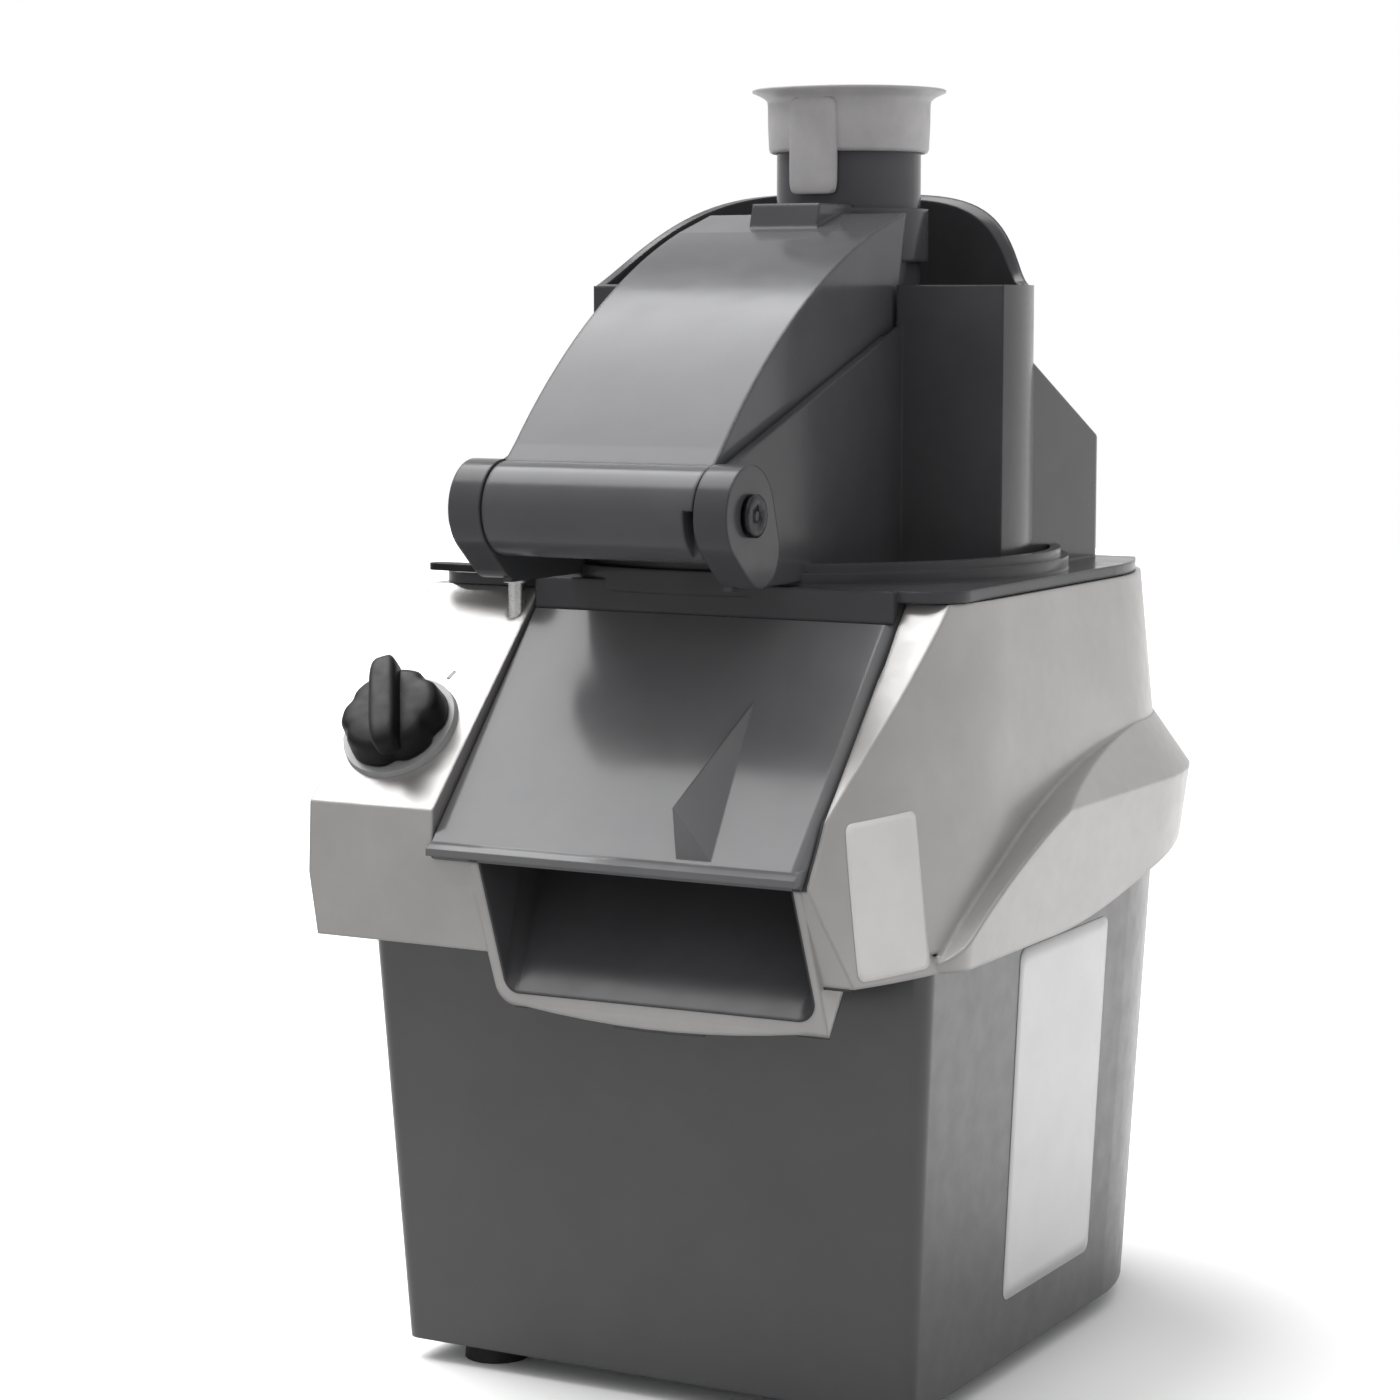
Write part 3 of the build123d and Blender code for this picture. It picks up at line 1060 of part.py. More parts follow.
# Hood over the chute: sloped plate with a hanging lip, a rounded shoulder and a wedge rib
HOOD_TOP_FLAT_Y = HOOD_LIP_Y + (HEAD_Z - HOOD_LIP_Z) / HOOD_RISE
with BuildPart() as chute_hood:
    extrude(side_profile([(HOOD_LIP_Y - 4, HOOD_LIP_Z - LIP_DROP), (HOOD_LIP_Y - 4, HOOD_LIP_Z - 2),
                           (HOOD_LIP_Y - 2, HOOD_LIP_Z - 0.5), (HOOD_LIP_Y, HOOD_LIP_Z),
                           (HOOD_TOP_FLAT_Y, HEAD_Z),
                          (HOOD_BACK_Y, HEAD_Z), (HOOD_BACK_Y, HEAD_Z - 2.6),
                          (HOOD_LIP_Y + (HEAD_Z - 2.6 - HOOD_LIP_Z + HOOD_DEPTH) / HOOD_RISE, HEAD_Z - 2.6),
                          (HOOD_LIP_Y + 1, HOOD_LIP_Z + HOOD_RISE - HOOD_DEPTH),
                          (HOOD_LIP_Y + 1, HOOD_LIP_Z - LIP_DROP)],
                         HOOD_LEFT_X), amount=HOOD_RIGHT_X - HOOD_LEFT_X)
    fillet(chute_hood.edges().filter_by(lambda edge: edge.length > 80 and abs(edge.center().X - HOOD_RIGHT_X) < 0.1)
           .sort_by(Axis.Z)[-1], HOOD_T - 1)
    with BuildSketch(Plane.XZ.offset(-HOOD_LIP_Y - 1)):
        with BuildLine():
            rib_low = slope_z(HOOD_LIP_Y + 1, HOOD_LIP_Y, HOOD_LIP_Z, HOOD_ANGLE) - 1
            Polyline((RIB_X - 7, rib_low), (RIB_X + 7, rib_low), (RIB_X - 8.5, rib_low + RIB_H), close=True)
        make_face()
    loft(sections=[chute_hood.pending_faces[0],
                   Vertex(RIB_X - 1, RIB_TOP_Y, slope_z(RIB_TOP_Y, HOOD_LIP_Y, HOOD_LIP_Z, HOOD_ANGLE) - 1)])
    add(upright(DISC_R + 1.5, 0, AXIS_Y, DISC_Z - 40, DISC_Z + DISC_T + 3), mode=Mode.SUBTRACT)
finish(chute_hood, "chute_hood")

# Pins, brackets and bolts of the two hinges
with BuildPart() as arm_hinge_pin:
    add(round_bar(ARM_PIN_R, -CHEEK_IN - EAR_T, CHEEK_IN + EAR_T, ARM_HINGE_Y, ARM_HINGE_Z))
    add(round_bar(ARM_PIN_R + 3, CHEEK_IN + EAR_T, CHEEK_IN + EAR_T + 2.5, ARM_HINGE_Y, ARM_HINGE_Z))
    add(round_bar(ARM_PIN_R + 3, -CHEEK_IN - EAR_T - 2.5, -CHEEK_IN - EAR_T, ARM_HINGE_Y, ARM_HINGE_Z))
finish(arm_hinge_pin, "arm_hinge_pin")

with BuildPart() as hinge_brackets:
    for x0 in (-BRACKET_HALF - BRACKET_T, BRACKET_HALF):
        with BuildSketch(Plane.YZ.offset(x0)):
            with Locations((HEAD_HINGE_Y, HEAD_HINGE_Z)):
                Circle(KNUCKLE_R + 1)
            with Locations((HEAD_HINGE_Y + 1, TOP_Z + 2)):
                Rectangle(24, 4)
            make_hull()
        extrude(amount=BRACKET_T)
    for side in (-1, 1):
        with BuildSketch(Plane.XY.offset(TOP_Z)):
            with Locations((side * (BRACKET_HALF + BRACKET_T + 6), HEAD_HINGE_Y + 1)):
                Rectangle(14, 24)
        extrude(amount=4)
    with BuildSketch(Plane.XY.offset(TOP_Z - 1)):
        with Locations(*BRACKET_BOLTS):
            Circle(BRACKET_BOLT_R + RUN_CLEAR)
    extrude(amount=30, mode=Mode.SUBTRACT)
    add(round_bar(HEAD_PIN_R + 0.02, -100, 100, HEAD_HINGE_Y, HEAD_HINGE_Z), mode=Mode.SUBTRACT)
finish(hinge_brackets, "hinge_brackets")

with BuildPart() as bracket_bolts:
    with BuildSketch(Plane.XY.offset(TOP_Z - 2 * HOUSING_ROOF)):
        with Locations(*BRACKET_BOLTS):
            Circle(BRACKET_BOLT_R)
    extrude(amount=2 * HOUSING_ROOF + 4)
    with BuildSketch(Plane.XY.offset(TOP_Z + 4)):
        with Locations(*BRACKET_BOLTS):
            Circle(BRACKET_BOLT_R * 1.7)
    extrude(amount=3)
finish(bracket_bolts, "bracket_bolts")

with BuildPart() as head_hinge_pin:
    add(round_bar(HEAD_PIN_R, -BRACKET_HALF - BRACKET_T - 2, BRACKET_HALF + BRACKET_T + 2, HEAD_HINGE_Y,
                  HEAD_HINGE_Z))
finish(head_hinge_pin, "head_hinge_pin")

# Latch at the left front corner of the head: post, lever and grip
with BuildPart() as latch_post:
    with BuildSketch(Plane.XY.offset(LATCH_FOOT_Z - 6)):
        with Locations((LATCH_X, LATCH_Y)):
            Circle(LATCH_POST_R)
    extrude(amount=LATCH_Z + LATCH_T + 1.5 - LATCH_FOOT_Z + 6)
    with BuildSketch(Plane.XY.offset(LATCH_Z + LATCH_T + 0.4)):
        with Locations((LATCH_X, LATCH_Y)):
            Circle(LATCH_POST_R + 2)
    extrude(amount=2)
    with BuildSketch(Plane.XY.offset(LATCH_Z - 3.4)):
        with Locations((LATCH_X, LATCH_Y)):
            Circle(LATCH_POST_R + 1.5)
    extrude(amount=3)
finish(latch_post, "latch_post")

with BuildPart() as latch_lever:
    with BuildSketch(Plane.XY.offset(LATCH_Z)):
        with Locations((LATCH_X, LATCH_Y)):
            Circle(6)
        with Locations((LATCH_X - LATCH_LENGTH + 4, LATCH_Y + 1)):
            Circle(4)
        make_hull()
        with Locations((LATCH_X, LATCH_Y)):
            Circle(LATCH_POST_R + RUN_CLEAR, mode=Mode.SUBTRACT)
    extrude(amount=LATCH_T)
finish(latch_lever, "latch_lever")

# Pusher arm: curved hollow cover with the hinge barrel in front and a collar for the tube
with BuildPart() as arm_core:
    with BuildSketch(Plane.YZ):
        with BuildLine():
            start = (ARM_HINGE_Y + 12, ARM_HINGE_Z + 25)
            crest = ThreePointArc(start, (-88, 381.5), (-30, ARM_END_Z - 10.5))
            end = Line(crest @ 1, (ARM_END_Y - 4, ARM_END_Z - ARM_WALL - 1))
            Polyline(end @ 1, (ARM_END_Y - 14, 300), (ARM_HINGE_Y + 12, 300), start)
        make_face()
    extrude(amount=ARM_HALF - ARM_WALL, both=True)
    add(round_bar(BARREL_R + 3, -60, 60, ARM_HINGE_Y, ARM_HINGE_Z), mode=Mode.SUBTRACT)

with BuildPart() as arm_cover:
    with BuildSketch(Plane.YZ):
        with BuildLine():
            start = (ARM_HINGE_Y - 1, ARM_HINGE_Z + BARREL_R)
            rise = Line(start, (ARM_HINGE_Y + 5, ARM_HINGE_Z + BARREL_R + 5.5))
            crest = ThreePointArc(rise @ 1, (-92, 384), (-28, ARM_END_Z - 7))
            top = Line(crest @ 1, (ARM_END_Y, ARM_END_Z))
            Polyline(top @ 1, (ARM_END_Y - 12, ARM_SKIRT_Z + 34), (ARM_HINGE_Y + 16, ARM_SKIRT_Z),
                     (ARM_HINGE_Y + 10, ARM_HINGE_Z - 6), (ARM_HINGE_Y, ARM_HINGE_Z), start)
        make_face()
    extrude(amount=ARM_HALF, both=True)
    add(arm_core.part, mode=Mode.SUBTRACT)
    add(round_bar(BARREL_R, -ARM_HALF, ARM_HALF, ARM_HINGE_Y, ARM_HINGE_Z))
    add(upright(TUBE_R + ARM_WALL, 0, TUBE_Y, COLLAR_Z, COLLAR_Z + COLLAR_H))
    extrude(side_profile([(SADDLE_Y - 4, ARM_END_Z - 10), (SADDLE_Y, COLLAR_Z + COLLAR_H + 1),
                          (TUBE_Y - 10, COLLAR_Z + COLLAR_H + 1), (TUBE_Y - 10, COLLAR_Z),
                          (SADDLE_Y - 4, COLLAR_Z)], -SADDLE_HALF), amount=2 * SADDLE_HALF)
    add(upright(TUBE_R + 0.05, 0, TUBE_Y, 300, 460), mode=Mode.SUBTRACT)
    add(round_bar(ARM_PIN_R + RUN_CLEAR, -60, 60, ARM_HINGE_Y, ARM_HINGE_Z), mode=Mode.SUBTRACT)
    with BuildSketch(Plane.YZ.offset(ARM_HALF - SLOT_W)):
        with Locations((ARM_HINGE_Y - BARREL_R, ARM_HINGE_Z - 8)):
            Rectangle(16, 20)
    extrude(amount=SLOT_W, mode=Mode.SUBTRACT)
finish(arm_cover, "arm_cover")

with BuildPart() as feed_tube:
    add(upright(TUBE_R, 0, TUBE_Y, PUSHER_Z, TUBE_TOP_Z))
    add(upright(TUBE_R + 6, 0, TUBE_Y, PUSHER_Z + PUSHER_T, PUSHER_Z + PUSHER_T + 3))
    add(upright(TUBE_BORE_R, 0, TUBE_Y, PUSHER_Z - 1, TUBE_TOP_Z + 1), mode=Mode.SUBTRACT)
finish(feed_tube, "feed_tube")

with BuildPart() as pusher_plate:
    with BuildSketch(Plane.XY.offset(PUSHER_Z)):
        with Locations((0, AXIS_Y)):
            Circle(PUSHER_R)
        with Locations((0, PUSHER_FRONT_Y - 100)):
            Rectangle(400, 200, mode=Mode.SUBTRACT)
        with Locations((0, TUBE_Y)):
            Circle(TUBE_R + 0.05, mode=Mode.SUBTRACT)
    extrude(amount=PUSHER_T)
    with BuildSketch(Plane.XY.offset(PUSHER_Z + 3)):
        with Locations((0, AXIS_Y)):
            Circle(PUSHER_R - 3)
        with Locations((0, PUSHER_FRONT_Y - 97)):
            Rectangle(400, 200, mode=Mode.SUBTRACT)
        with Locations((0, TUBE_Y)):
            Circle(TUBE_R + 6, mode=Mode.SUBTRACT)
        for x in (-52, 52):
            with Locations((x, TUBE_Y)):
                Rectangle(3, 120, mode=Mode.SUBTRACT)
    extrude(amount=PUSHER_T, mode=Mode.SUBTRACT)
finish(pusher_plate, "pusher_plate")

with BuildPart() as pestle:
    add(upright(TUBE_BORE_R - SLIDE_CLEAR, 0, TUBE_Y, PUSHER_Z + 4, TUBE_TOP_Z + 2))
    add(upright(PESTLE_SKIRT_R, 0, TUBE_Y, PESTLE_TOP_Z - 24, PESTLE_TOP_Z - 3))
    with BuildSketch(Plane.XY.offset(PESTLE_TOP_Z - PESTLE_FLANGE_T)):
        with Locations((0, TUBE_Y)):
            Circle(PESTLE_FLANGE_R)
    extrude(amount=PESTLE_FLANGE_T, taper=30)
    add(upright(TUBE_BORE_R - 4, 0, TUBE_Y, PUSHER_Z + 7, TUBE_TOP_Z - 2), mode=Mode.SUBTRACT)
    with BuildSketch(Plane.XY.offset(PESTLE_TOP_Z - 40)):
        with Locations((0, TUBE_Y - PESTLE_SKIRT_R + 1.2)):
            Rectangle(2 * TONGUE_HALF, 3.4)
    extrude(amount=36)
    with BuildSketch(Plane.XY.offset(PESTLE_TOP_Z - 60)):
        with Locations((0, TUBE_Y)):
            Circle(TUBE_R + SLIDE_CLEAR + 0.2)
            Circle(TUBE_BORE_R - SLIDE_CLEAR, mode=Mode.SUBTRACT)
    extrude(amount=TUBE_TOP_Z + REST_GAP - PESTLE_TOP_Z + 60, mode=Mode.SUBTRACT)
finish(pestle, "pestle")
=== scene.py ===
"""Looks of the bench vegetable cutter: its finishes, small fittings, studio light and camera.

Lengths are metres unless a name ends in _mm or _MM. +Z is up, the chute faces -Y and +X is the
operator's right.
"""
from math import cos, pi, radians, sin

import bmesh
import bpy
import numpy as np
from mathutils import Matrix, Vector
from mathutils.bvhtree import BVHTree


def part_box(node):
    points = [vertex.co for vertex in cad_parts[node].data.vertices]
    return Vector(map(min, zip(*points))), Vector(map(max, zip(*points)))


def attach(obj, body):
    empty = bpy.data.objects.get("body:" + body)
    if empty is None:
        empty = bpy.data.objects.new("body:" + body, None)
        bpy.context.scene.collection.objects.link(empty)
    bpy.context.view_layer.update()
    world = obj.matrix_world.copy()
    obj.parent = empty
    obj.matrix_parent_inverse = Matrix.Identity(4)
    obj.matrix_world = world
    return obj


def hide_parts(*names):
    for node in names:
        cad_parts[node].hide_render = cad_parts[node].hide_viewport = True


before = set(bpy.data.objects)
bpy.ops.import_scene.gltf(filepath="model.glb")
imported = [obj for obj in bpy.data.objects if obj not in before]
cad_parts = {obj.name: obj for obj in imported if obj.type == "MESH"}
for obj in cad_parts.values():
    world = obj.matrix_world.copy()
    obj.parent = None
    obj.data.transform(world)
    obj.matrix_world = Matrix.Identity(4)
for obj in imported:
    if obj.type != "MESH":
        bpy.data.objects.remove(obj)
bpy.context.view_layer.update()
MM = 0.001
AXIS_MM = 0.01          # radius of a turned profile where it meets its axis
POLE_GAP = 0.01         # radians left open at a lozenge's poles, for the cap
FILM_CENTRE = 0.001     # size of a film's innermost ring, as a share of its outline
FILM_SINK_MM = -0.1     # how far a film's underside lies below the surface
RAY_START = 0.03        # how far off the surface a film's rays start


# Small helpers: a node, a colour, a mesh from a grid of points, a turned shape

def add_node(tree, kind, sockets=None, **settings):
    """Adds one shader node with its settings. Each socket gets a value or a link to an output."""
    made = tree.nodes.new(kind)
    for name, value in settings.items():
        setattr(made, name, value)
    for socket, value in (sockets or {}).items():
        if isinstance(value, bpy.types.NodeSocket):
            tree.links.new(value, made.inputs[socket])
        else:
            made.inputs[socket].default_value = value
    return made


def colour(hex_code):
    """An sRGB hex colour as linear red, green, blue and full alpha."""
    srgb = np.array([int(hex_code[i:i + 2], 16) for i in (1, 3, 5)]) / 255
    linear = np.where(srgb <= 0.04045, srgb / 12.92, ((srgb + 0.055) / 1.055) ** 2.4)
    return (*linear.tolist(), 1.0)


def per_mm(size_mm):
    """The scale of a pattern on Object coordinates whose marks are about size_mm across."""
    return 1000.0 / size_mm


def grid_mesh(name, points, closed_v=False, smooth=True):
    """A surface through a grid of points of shape (rows, columns, 3). Where its rows are closed
    it is a tube, and its two ends get a flat cap."""
    rows, columns = points.shape[:2]
    index = np.arange(rows * columns).reshape(rows, columns)
    if closed_v:
        index = np.hstack([index, index[:, :1]])
    quads = np.stack([index[:-1, :-1], index[1:, :-1], index[1:, 1:], index[:-1, 1:]], axis=-1)
    faces = quads.reshape(-1, 4).tolist()
    if closed_v:
        faces += [index[0, :columns].tolist(), index[-1, :columns].tolist()]
    mesh = bpy.data.meshes.new(name)
    mesh.from_pydata(points.reshape(-1, 3), [], faces)
    mesh.polygons.foreach_set("use_smooth", np.full(len(faces), smooth))
    mesh.validate()
    made = bpy.data.objects.new(name, mesh)
    if closed_v:
        shape = bmesh.new()
        shape.from_mesh(mesh)
        bmesh.ops.recalc_face_normals(shape, faces=shape.faces)
        shape.to_mesh(mesh)
        shape.free()
    bpy.context.scene.collection.objects.link(made)
    return made


def frame_axes(along):
    """An axis as a unit vector, and two unit vectors square to it and to each other."""
    along = np.array(along, float) / np.linalg.norm(along)
    helper = np.array([0.0, 0.0, 1.0]) if abs(along[2]) < 0.9 else np.array([1.0, 0.0, 0.0])
    across = np.cross(helper, along)
    across /= np.linalg.norm(across)
    return along, across, np.cross(along, across)


def turned(name, centre, along, profile, around=64, reach=None):
    """A turned shape: each profile point (radius, height) in mm goes round the axis.
    reach(turn, radius) may change the radius with the turn, as for lobes or a hexagon."""
    along, across, third = frame_axes(along)
    turn = np.linspace(0, 2 * pi, around, endpoint=False)
    radius, height = np.array(profile, float).T
    radii = np.repeat(radius[:, None], around, axis=1)
    if reach:
        radii = reach(turn[None, :], radii)
    ring = np.cos(turn)[None, :, None] * across + np.sin(turn)[None, :, None] * third
    points = np.array(centre) + MM * (radii[..., None] * ring + height[:, None, None] * along)
    return grid_mesh(name, points, closed_v=True)


def hexagon(turn, key):
    """The reach of a hexagon with a given width across flats, at each turn."""
    sector = (turn + pi / 6) % (pi / 3) - pi / 6
    return key / 2 / np.cos(sector)


def join(name, pieces):
    """One piece from several."""
    with bpy.context.temp_override(active_object=pieces[0], selected_editable_objects=pieces,
                                   selected_objects=pieces):
        bpy.ops.object.join()
    pieces[0].name = name
    pieces[0].data.name = name
    return pieces[0]


def lozenge(name, middle, axes, half_mm, power, around=48, levels=24):
    """A block with soft edges: a superellipsoid of three half lengths along three axes. A higher
    power is boxier."""
    def stretched(values):
        return np.sign(values) * np.abs(values) ** (2 / power)
    turn = np.linspace(0, 2 * pi, around, endpoint=False)[None, :]
    rise = np.linspace(-pi / 2 + POLE_GAP, pi / 2 - POLE_GAP, levels)[:, None]
    shares = (stretched(np.cos(rise)) * stretched(np.cos(turn)),
              stretched(np.cos(rise)) * stretched(np.sin(turn)),
              stretched(np.sin(rise)) * np.ones_like(turn))
    points = np.array(middle) + MM * sum(share[..., None] * half * np.array(axis)
                                         for share, half, axis in zip(shares, half_mm, axes))
    return grid_mesh(name, points, closed_v=True)


def rounded_outline(width, height, radius, corner_steps=8, side_steps=10):
    """Points round a rectangle with round corners, as shares of its width and height."""
    turns = np.linspace(0, pi / 2, corner_steps)
    arcs = []
    for quarter, (to_x, to_y) in enumerate(((1, 1), (-1, 1), (-1, -1), (1, -1))):
        middle = np.array([to_x * (width / 2 - radius), to_y * (height / 2 - radius)])
        angle = turns + quarter * pi / 2
        arcs.append(middle + radius * np.column_stack([np.cos(angle), np.sin(angle)]))
    points = []
    for arc, following in zip(arcs, arcs[1:] + arcs[:1]):
        steps = np.linspace(0, 1, side_steps + 2)[1:-1, None]
        points += [arc, arc[-1] + (following[0] - arc[-1]) * steps]
    return np.vstack(points) / (width, height) + 0.5


def skin(node):
    """A node's surface, to find where a ray meets it."""
    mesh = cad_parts[node].data
    return BVHTree.FromPolygons([corner.co for corner in mesh.vertices],
                                [tuple(face.vertices) for face in mesh.polygons])


def film_on(name, node, corners_mm, along, round_mm=4.0, lift_mm=0.3, rings=12):
    """A thin plate with round corners that follows a node's surface. Its four corners run lower
    left, lower right, upper right, upper left, and it is pressed on in the direction along."""
    surface = skin(node)
    low_left, low_right, high_right, high_left = [np.array(corner, float) * MM
                                                  for corner in corners_mm]
    width = np.linalg.norm(low_right - low_left) / MM
    height = np.linalg.norm(high_left - low_left) / MM
    outline = rounded_outline(width, height, round_mm)
    along = np.array(along, float) / np.linalg.norm(along)
    top = [(share, lift_mm) for share in np.linspace(FILM_CENTRE, 1, rings)]
    underside = [(1.0, FILM_SINK_MM), (FILM_CENTRE, FILM_SINK_MM)]
    rows = []
    for share, lift in top + underside:
        row = []
        for across, up in 0.5 + (outline - 0.5) * share:
            start = ((1 - up) * ((1 - across) * low_left + across * low_right)
                     + up * ((1 - across) * high_left + across * high_right))
            place, normal, _, _ = surface.ray_cast(Vector(start - RAY_START * along),
                                                   Vector(along))
            row.append(np.array(place) + np.array(normal) * lift * MM)
        rows.append(row)
    return grid_mesh(name, np.array(rows), closed_v=True)


def cap_screws(name, ends, head_r, head_h, key):
    """Socket head screws, each at a place and facing a way: a turned head with a rounded rim. The
    profile points with a radius of key are the bore, and take a hexagon's reach instead."""
    def socket(turn, radius):
        return np.where(radius == key, hexagon(turn, key), radius)
    profile = [(AXIS_MM, 0), (head_r, 0), (head_r, head_h * 0.82), (head_r - 0.35, head_h * 0.95),
               (head_r - 0.9, head_h), (key * 0.62, head_h), (key, head_h - 0.4),
               (key, head_h * 0.35), (AXIS_MM, head_h * 0.3)]
    return join(name, [turned(name, place, along, profile, 48, socket) for place, along in ends])


# Materials

def new_material(name):
    """An empty material with its shader, output, and the piece's own coordinates."""
    made = bpy.data.materials.new(name)
    made.use_nodes = True
    tree = made.node_tree
    tree.nodes.clear()
    shader = add_node(tree, "ShaderNodeBsdfPrincipled")
    add_node(tree, "ShaderNodeOutputMaterial", {"Surface": shader.outputs["BSDF"]})
    place = add_node(tree, "ShaderNodeTexCoord").outputs["Object"]
    return made, tree, shader, place


def spots(tree, place, size_mm, stretch, detail, roughness=0.5):
    """Soft noise in spots of a given size, stretched along the axes."""
    spread = add_node(tree, "ShaderNodeMapping", {"Vector": place, "Scale": stretch})
    noise = add_node(tree, "ShaderNodeTexNoise",
                     {"Vector": spread.outputs[0], "Scale": per_mm(size_mm),
                      "Detail": detail, "Roughness": roughness})
    return noise.outputs["Fac"]


def mottled(tree, place, dark, light, size_mm, stretch=(1, 1, 1)):
    """A colour that drifts between two shades in soft spots of a given size."""
    ramp = add_node(tree, "ShaderNodeValToRGB",
                    {"Fac": spots(tree, place, size_mm, stretch, 4.0, 0.6)})
    for stop, position, shade_hex in zip(ramp.color_ramp.elements, (0.35, 0.65), (dark, light)):
        stop.position = position
        stop.color = colour(shade_hex)
    return ramp.outputs["Color"]


def drifting(tree, place, low, high, size_mm, stretch=(1, 1, 1)):
    """A number that drifts between two values in spots of a given size."""
    ranged = add_node(tree, "ShaderNodeMapRange",
                      {"Value": spots(tree, place, size_mm, stretch, 3.0), "From Min": 0.3,
                       "From Max": 0.7, "To Min": low, "To Max": high})
    return ranged.outputs["Result"]


def rounded_edges(tree, radius_mm):
    """The normal of a surface whose sharp corners are eased by a small radius."""
    bevel = add_node(tree, "ShaderNodeBevel", {"Radius": radius_mm * MM}, samples=4)
    return bevel.outputs["Normal"]


def grain(tree, place, size_mm, depth_mm, edge_mm=0.0, stretch=(1, 1, 1)):
    """The bump of a fine grain of a given size and depth."""
    bump = add_node(tree, "ShaderNodeBump",
                    {"Height": spots(tree, place, size_mm, stretch, 2.0),
                     "Distance": depth_mm * MM, "Strength": 1.0})
    if edge_mm:
        tree.links.new(rounded_edges(tree, edge_mm), bump.inputs["Normal"])
    return bump.outputs["Normal"]


def shade(shader, links, **values):
    """Sets the shader's own sockets, and links the patterned ones."""
    for socket, value in values.items():
        shader.inputs[socket.replace("_", " ")].default_value = value
    for socket, output in links.items():
        shader.id_data.links.new(output, shader.inputs[socket])


def moulded_abs():
    """Moulded ABS, spark-eroded mould: an even satin grey whose fine grain softens highlights."""
    made, tree, shader, place = new_material("moulded_abs_satin")
    shade(shader, {"Base Color": mottled(tree, place, "#39393b", "#3f3f41", 60),
                   "Roughness": drifting(tree, place, 0.36, 0.46, 9),
                   "Normal": grain(tree, place, 0.9, 0.03, edge_mm=1.2)},
          IOR=1.54, Coat_Weight=0.5, Coat_Roughness=0.25)
    return made


def silver_lacquer():
    """Die-cast aluminium in silver lacquer: fine metal flakes under a thin clear coat."""
    made, tree, shader, place = new_material("silver_lacquer_on_casting")
    shade(shader, {"Base Color": mottled(tree, place, "#9b9998", "#a3a1a0", 45),
                   "Roughness": drifting(tree, place, 0.30, 0.38, 7),
                   "Normal": grain(tree, place, 0.7, 0.02, edge_mm=2.0)},
          Metallic=0.5, Coat_Weight=0.2, Coat_Roughness=0.18)
    return made


def gloss_black():
    """Polycarbonate from a polished mould: dark grey head with fairly sharp reflections."""
    made, tree, shader, place = new_material("gloss_polycarbonate_black")
    shade(shader, {"Base Color": mottled(tree, place, "#404042", "#464648", 50),
                   "Roughness": drifting(tree, place, 0.16, 0.24, 14),
                   "Normal": grain(tree, place, 2.2, 0.01, edge_mm=1.4)},
          IOR=1.46, Specular_IOR_Level=0.2)
    return made


def gloss_hood():
    """Polycarbonate from a polished mould: mid grey hood that mirrors the arm above it."""
    made, tree, shader, place = new_material("gloss_polycarbonate_hood")
    shade(shader, {"Base Color": mottled(tree, place, "#626264", "#686869", 50),
                   "Roughness": drifting(tree, place, 0.14, 0.20, 22),
                   "Normal": grain(tree, place, 3.0, 0.008, edge_mm=0.8)}, IOR=1.33)
    return made


def gloss_arm():
    """Polycarbonate from a polished mould: grey pusher arm and tube."""
    made, tree, shader, place = new_material("gloss_polycarbonate_grey")
    shade(shader, {"Base Color": mottled(tree, place, "#48484b", "#4e4e51", 50),
                   "Roughness": drifting(tree, place, 0.14, 0.22, 18),
                   "Normal": grain(tree, place, 3.0, 0.01, edge_mm=2.0)}, IOR=1.31)
    return made


def moulded_polyamide():
    """Moulded polyamide: a dull warm grey with faintly paler spots."""
    made, tree, shader, place = new_material("moulded_polyamide_grey")
    shade(shader, {"Base Color": mottled(tree, place, "#a09e9f", "#acaaab", 16),
                   "Roughness": drifting(tree, place, 0.38, 0.52, 6),
                   "Normal": grain(tree, place, 0.8, 0.03, edge_mm=0.8)}, IOR=1.53)
    return made


def black_knob_plastic():
    """Moulded phenolic for knob, lever and switch: black with a soft sheen."""
    made, tree, shader, place = new_material("moulded_phenolic_black")
    shade(shader, {"Base Color": mottled(tree, place, "#080808", "#0f0f0f", 9),
                   "Roughness": drifting(tree, place, 0.40, 0.52, 5),
                   "Normal": grain(tree, place, 0.7, 0.025, edge_mm=0.8)},
          IOR=1.4, Specular_IOR_Level=0.3)
    return made


def ring_grey_painted_shade():
    """Moulded ABS ring under the knob: mid grey, satin. Its grey is painted shade for the knob's
    shadow on the white panel.
    """
    made, tree, shader, place = new_material("abs_ring_painted_shade")
    shade(shader, {"Base Color": mottled(tree, place, "#8b8b8c", "#959596", 9),
                   "Roughness": drifting(tree, place, 0.35, 0.45, 5),
                   "Normal": grain(tree, place, 0.7, 0.02, edge_mm=0.4)}, IOR=1.54)
    return made


def blackened_steel():
    """Blackened steel of the arm's pin: almost black, with a soft metallic gleam on its edges."""
    made, tree, shader, place = new_material("blackened_steel")
    shade(shader, {"Base Color": mottled(tree, place, "#2c2c2e", "#39393b", 3),
                   "Roughness": drifting(tree, place, 0.26, 0.38, 2),
                   "Normal": grain(tree, place, 0.5, 0.01, edge_mm=0.4)}, Metallic=1.0)
    return made


def moulded_rubber():
    """Moulded nitrile rubber: matt black with a dusty bloom and a coarse grain."""
    made, tree, shader, place = new_material("moulded_nitrile_rubber")
    shade(shader, {"Base Color": mottled(tree, place, "#161616", "#242424", 5),
                   "Roughness": drifting(tree, place, 0.72, 0.9, 3),
                   "Normal": grain(tree, place, 0.6, 0.06)}, IOR=1.52)
    return made


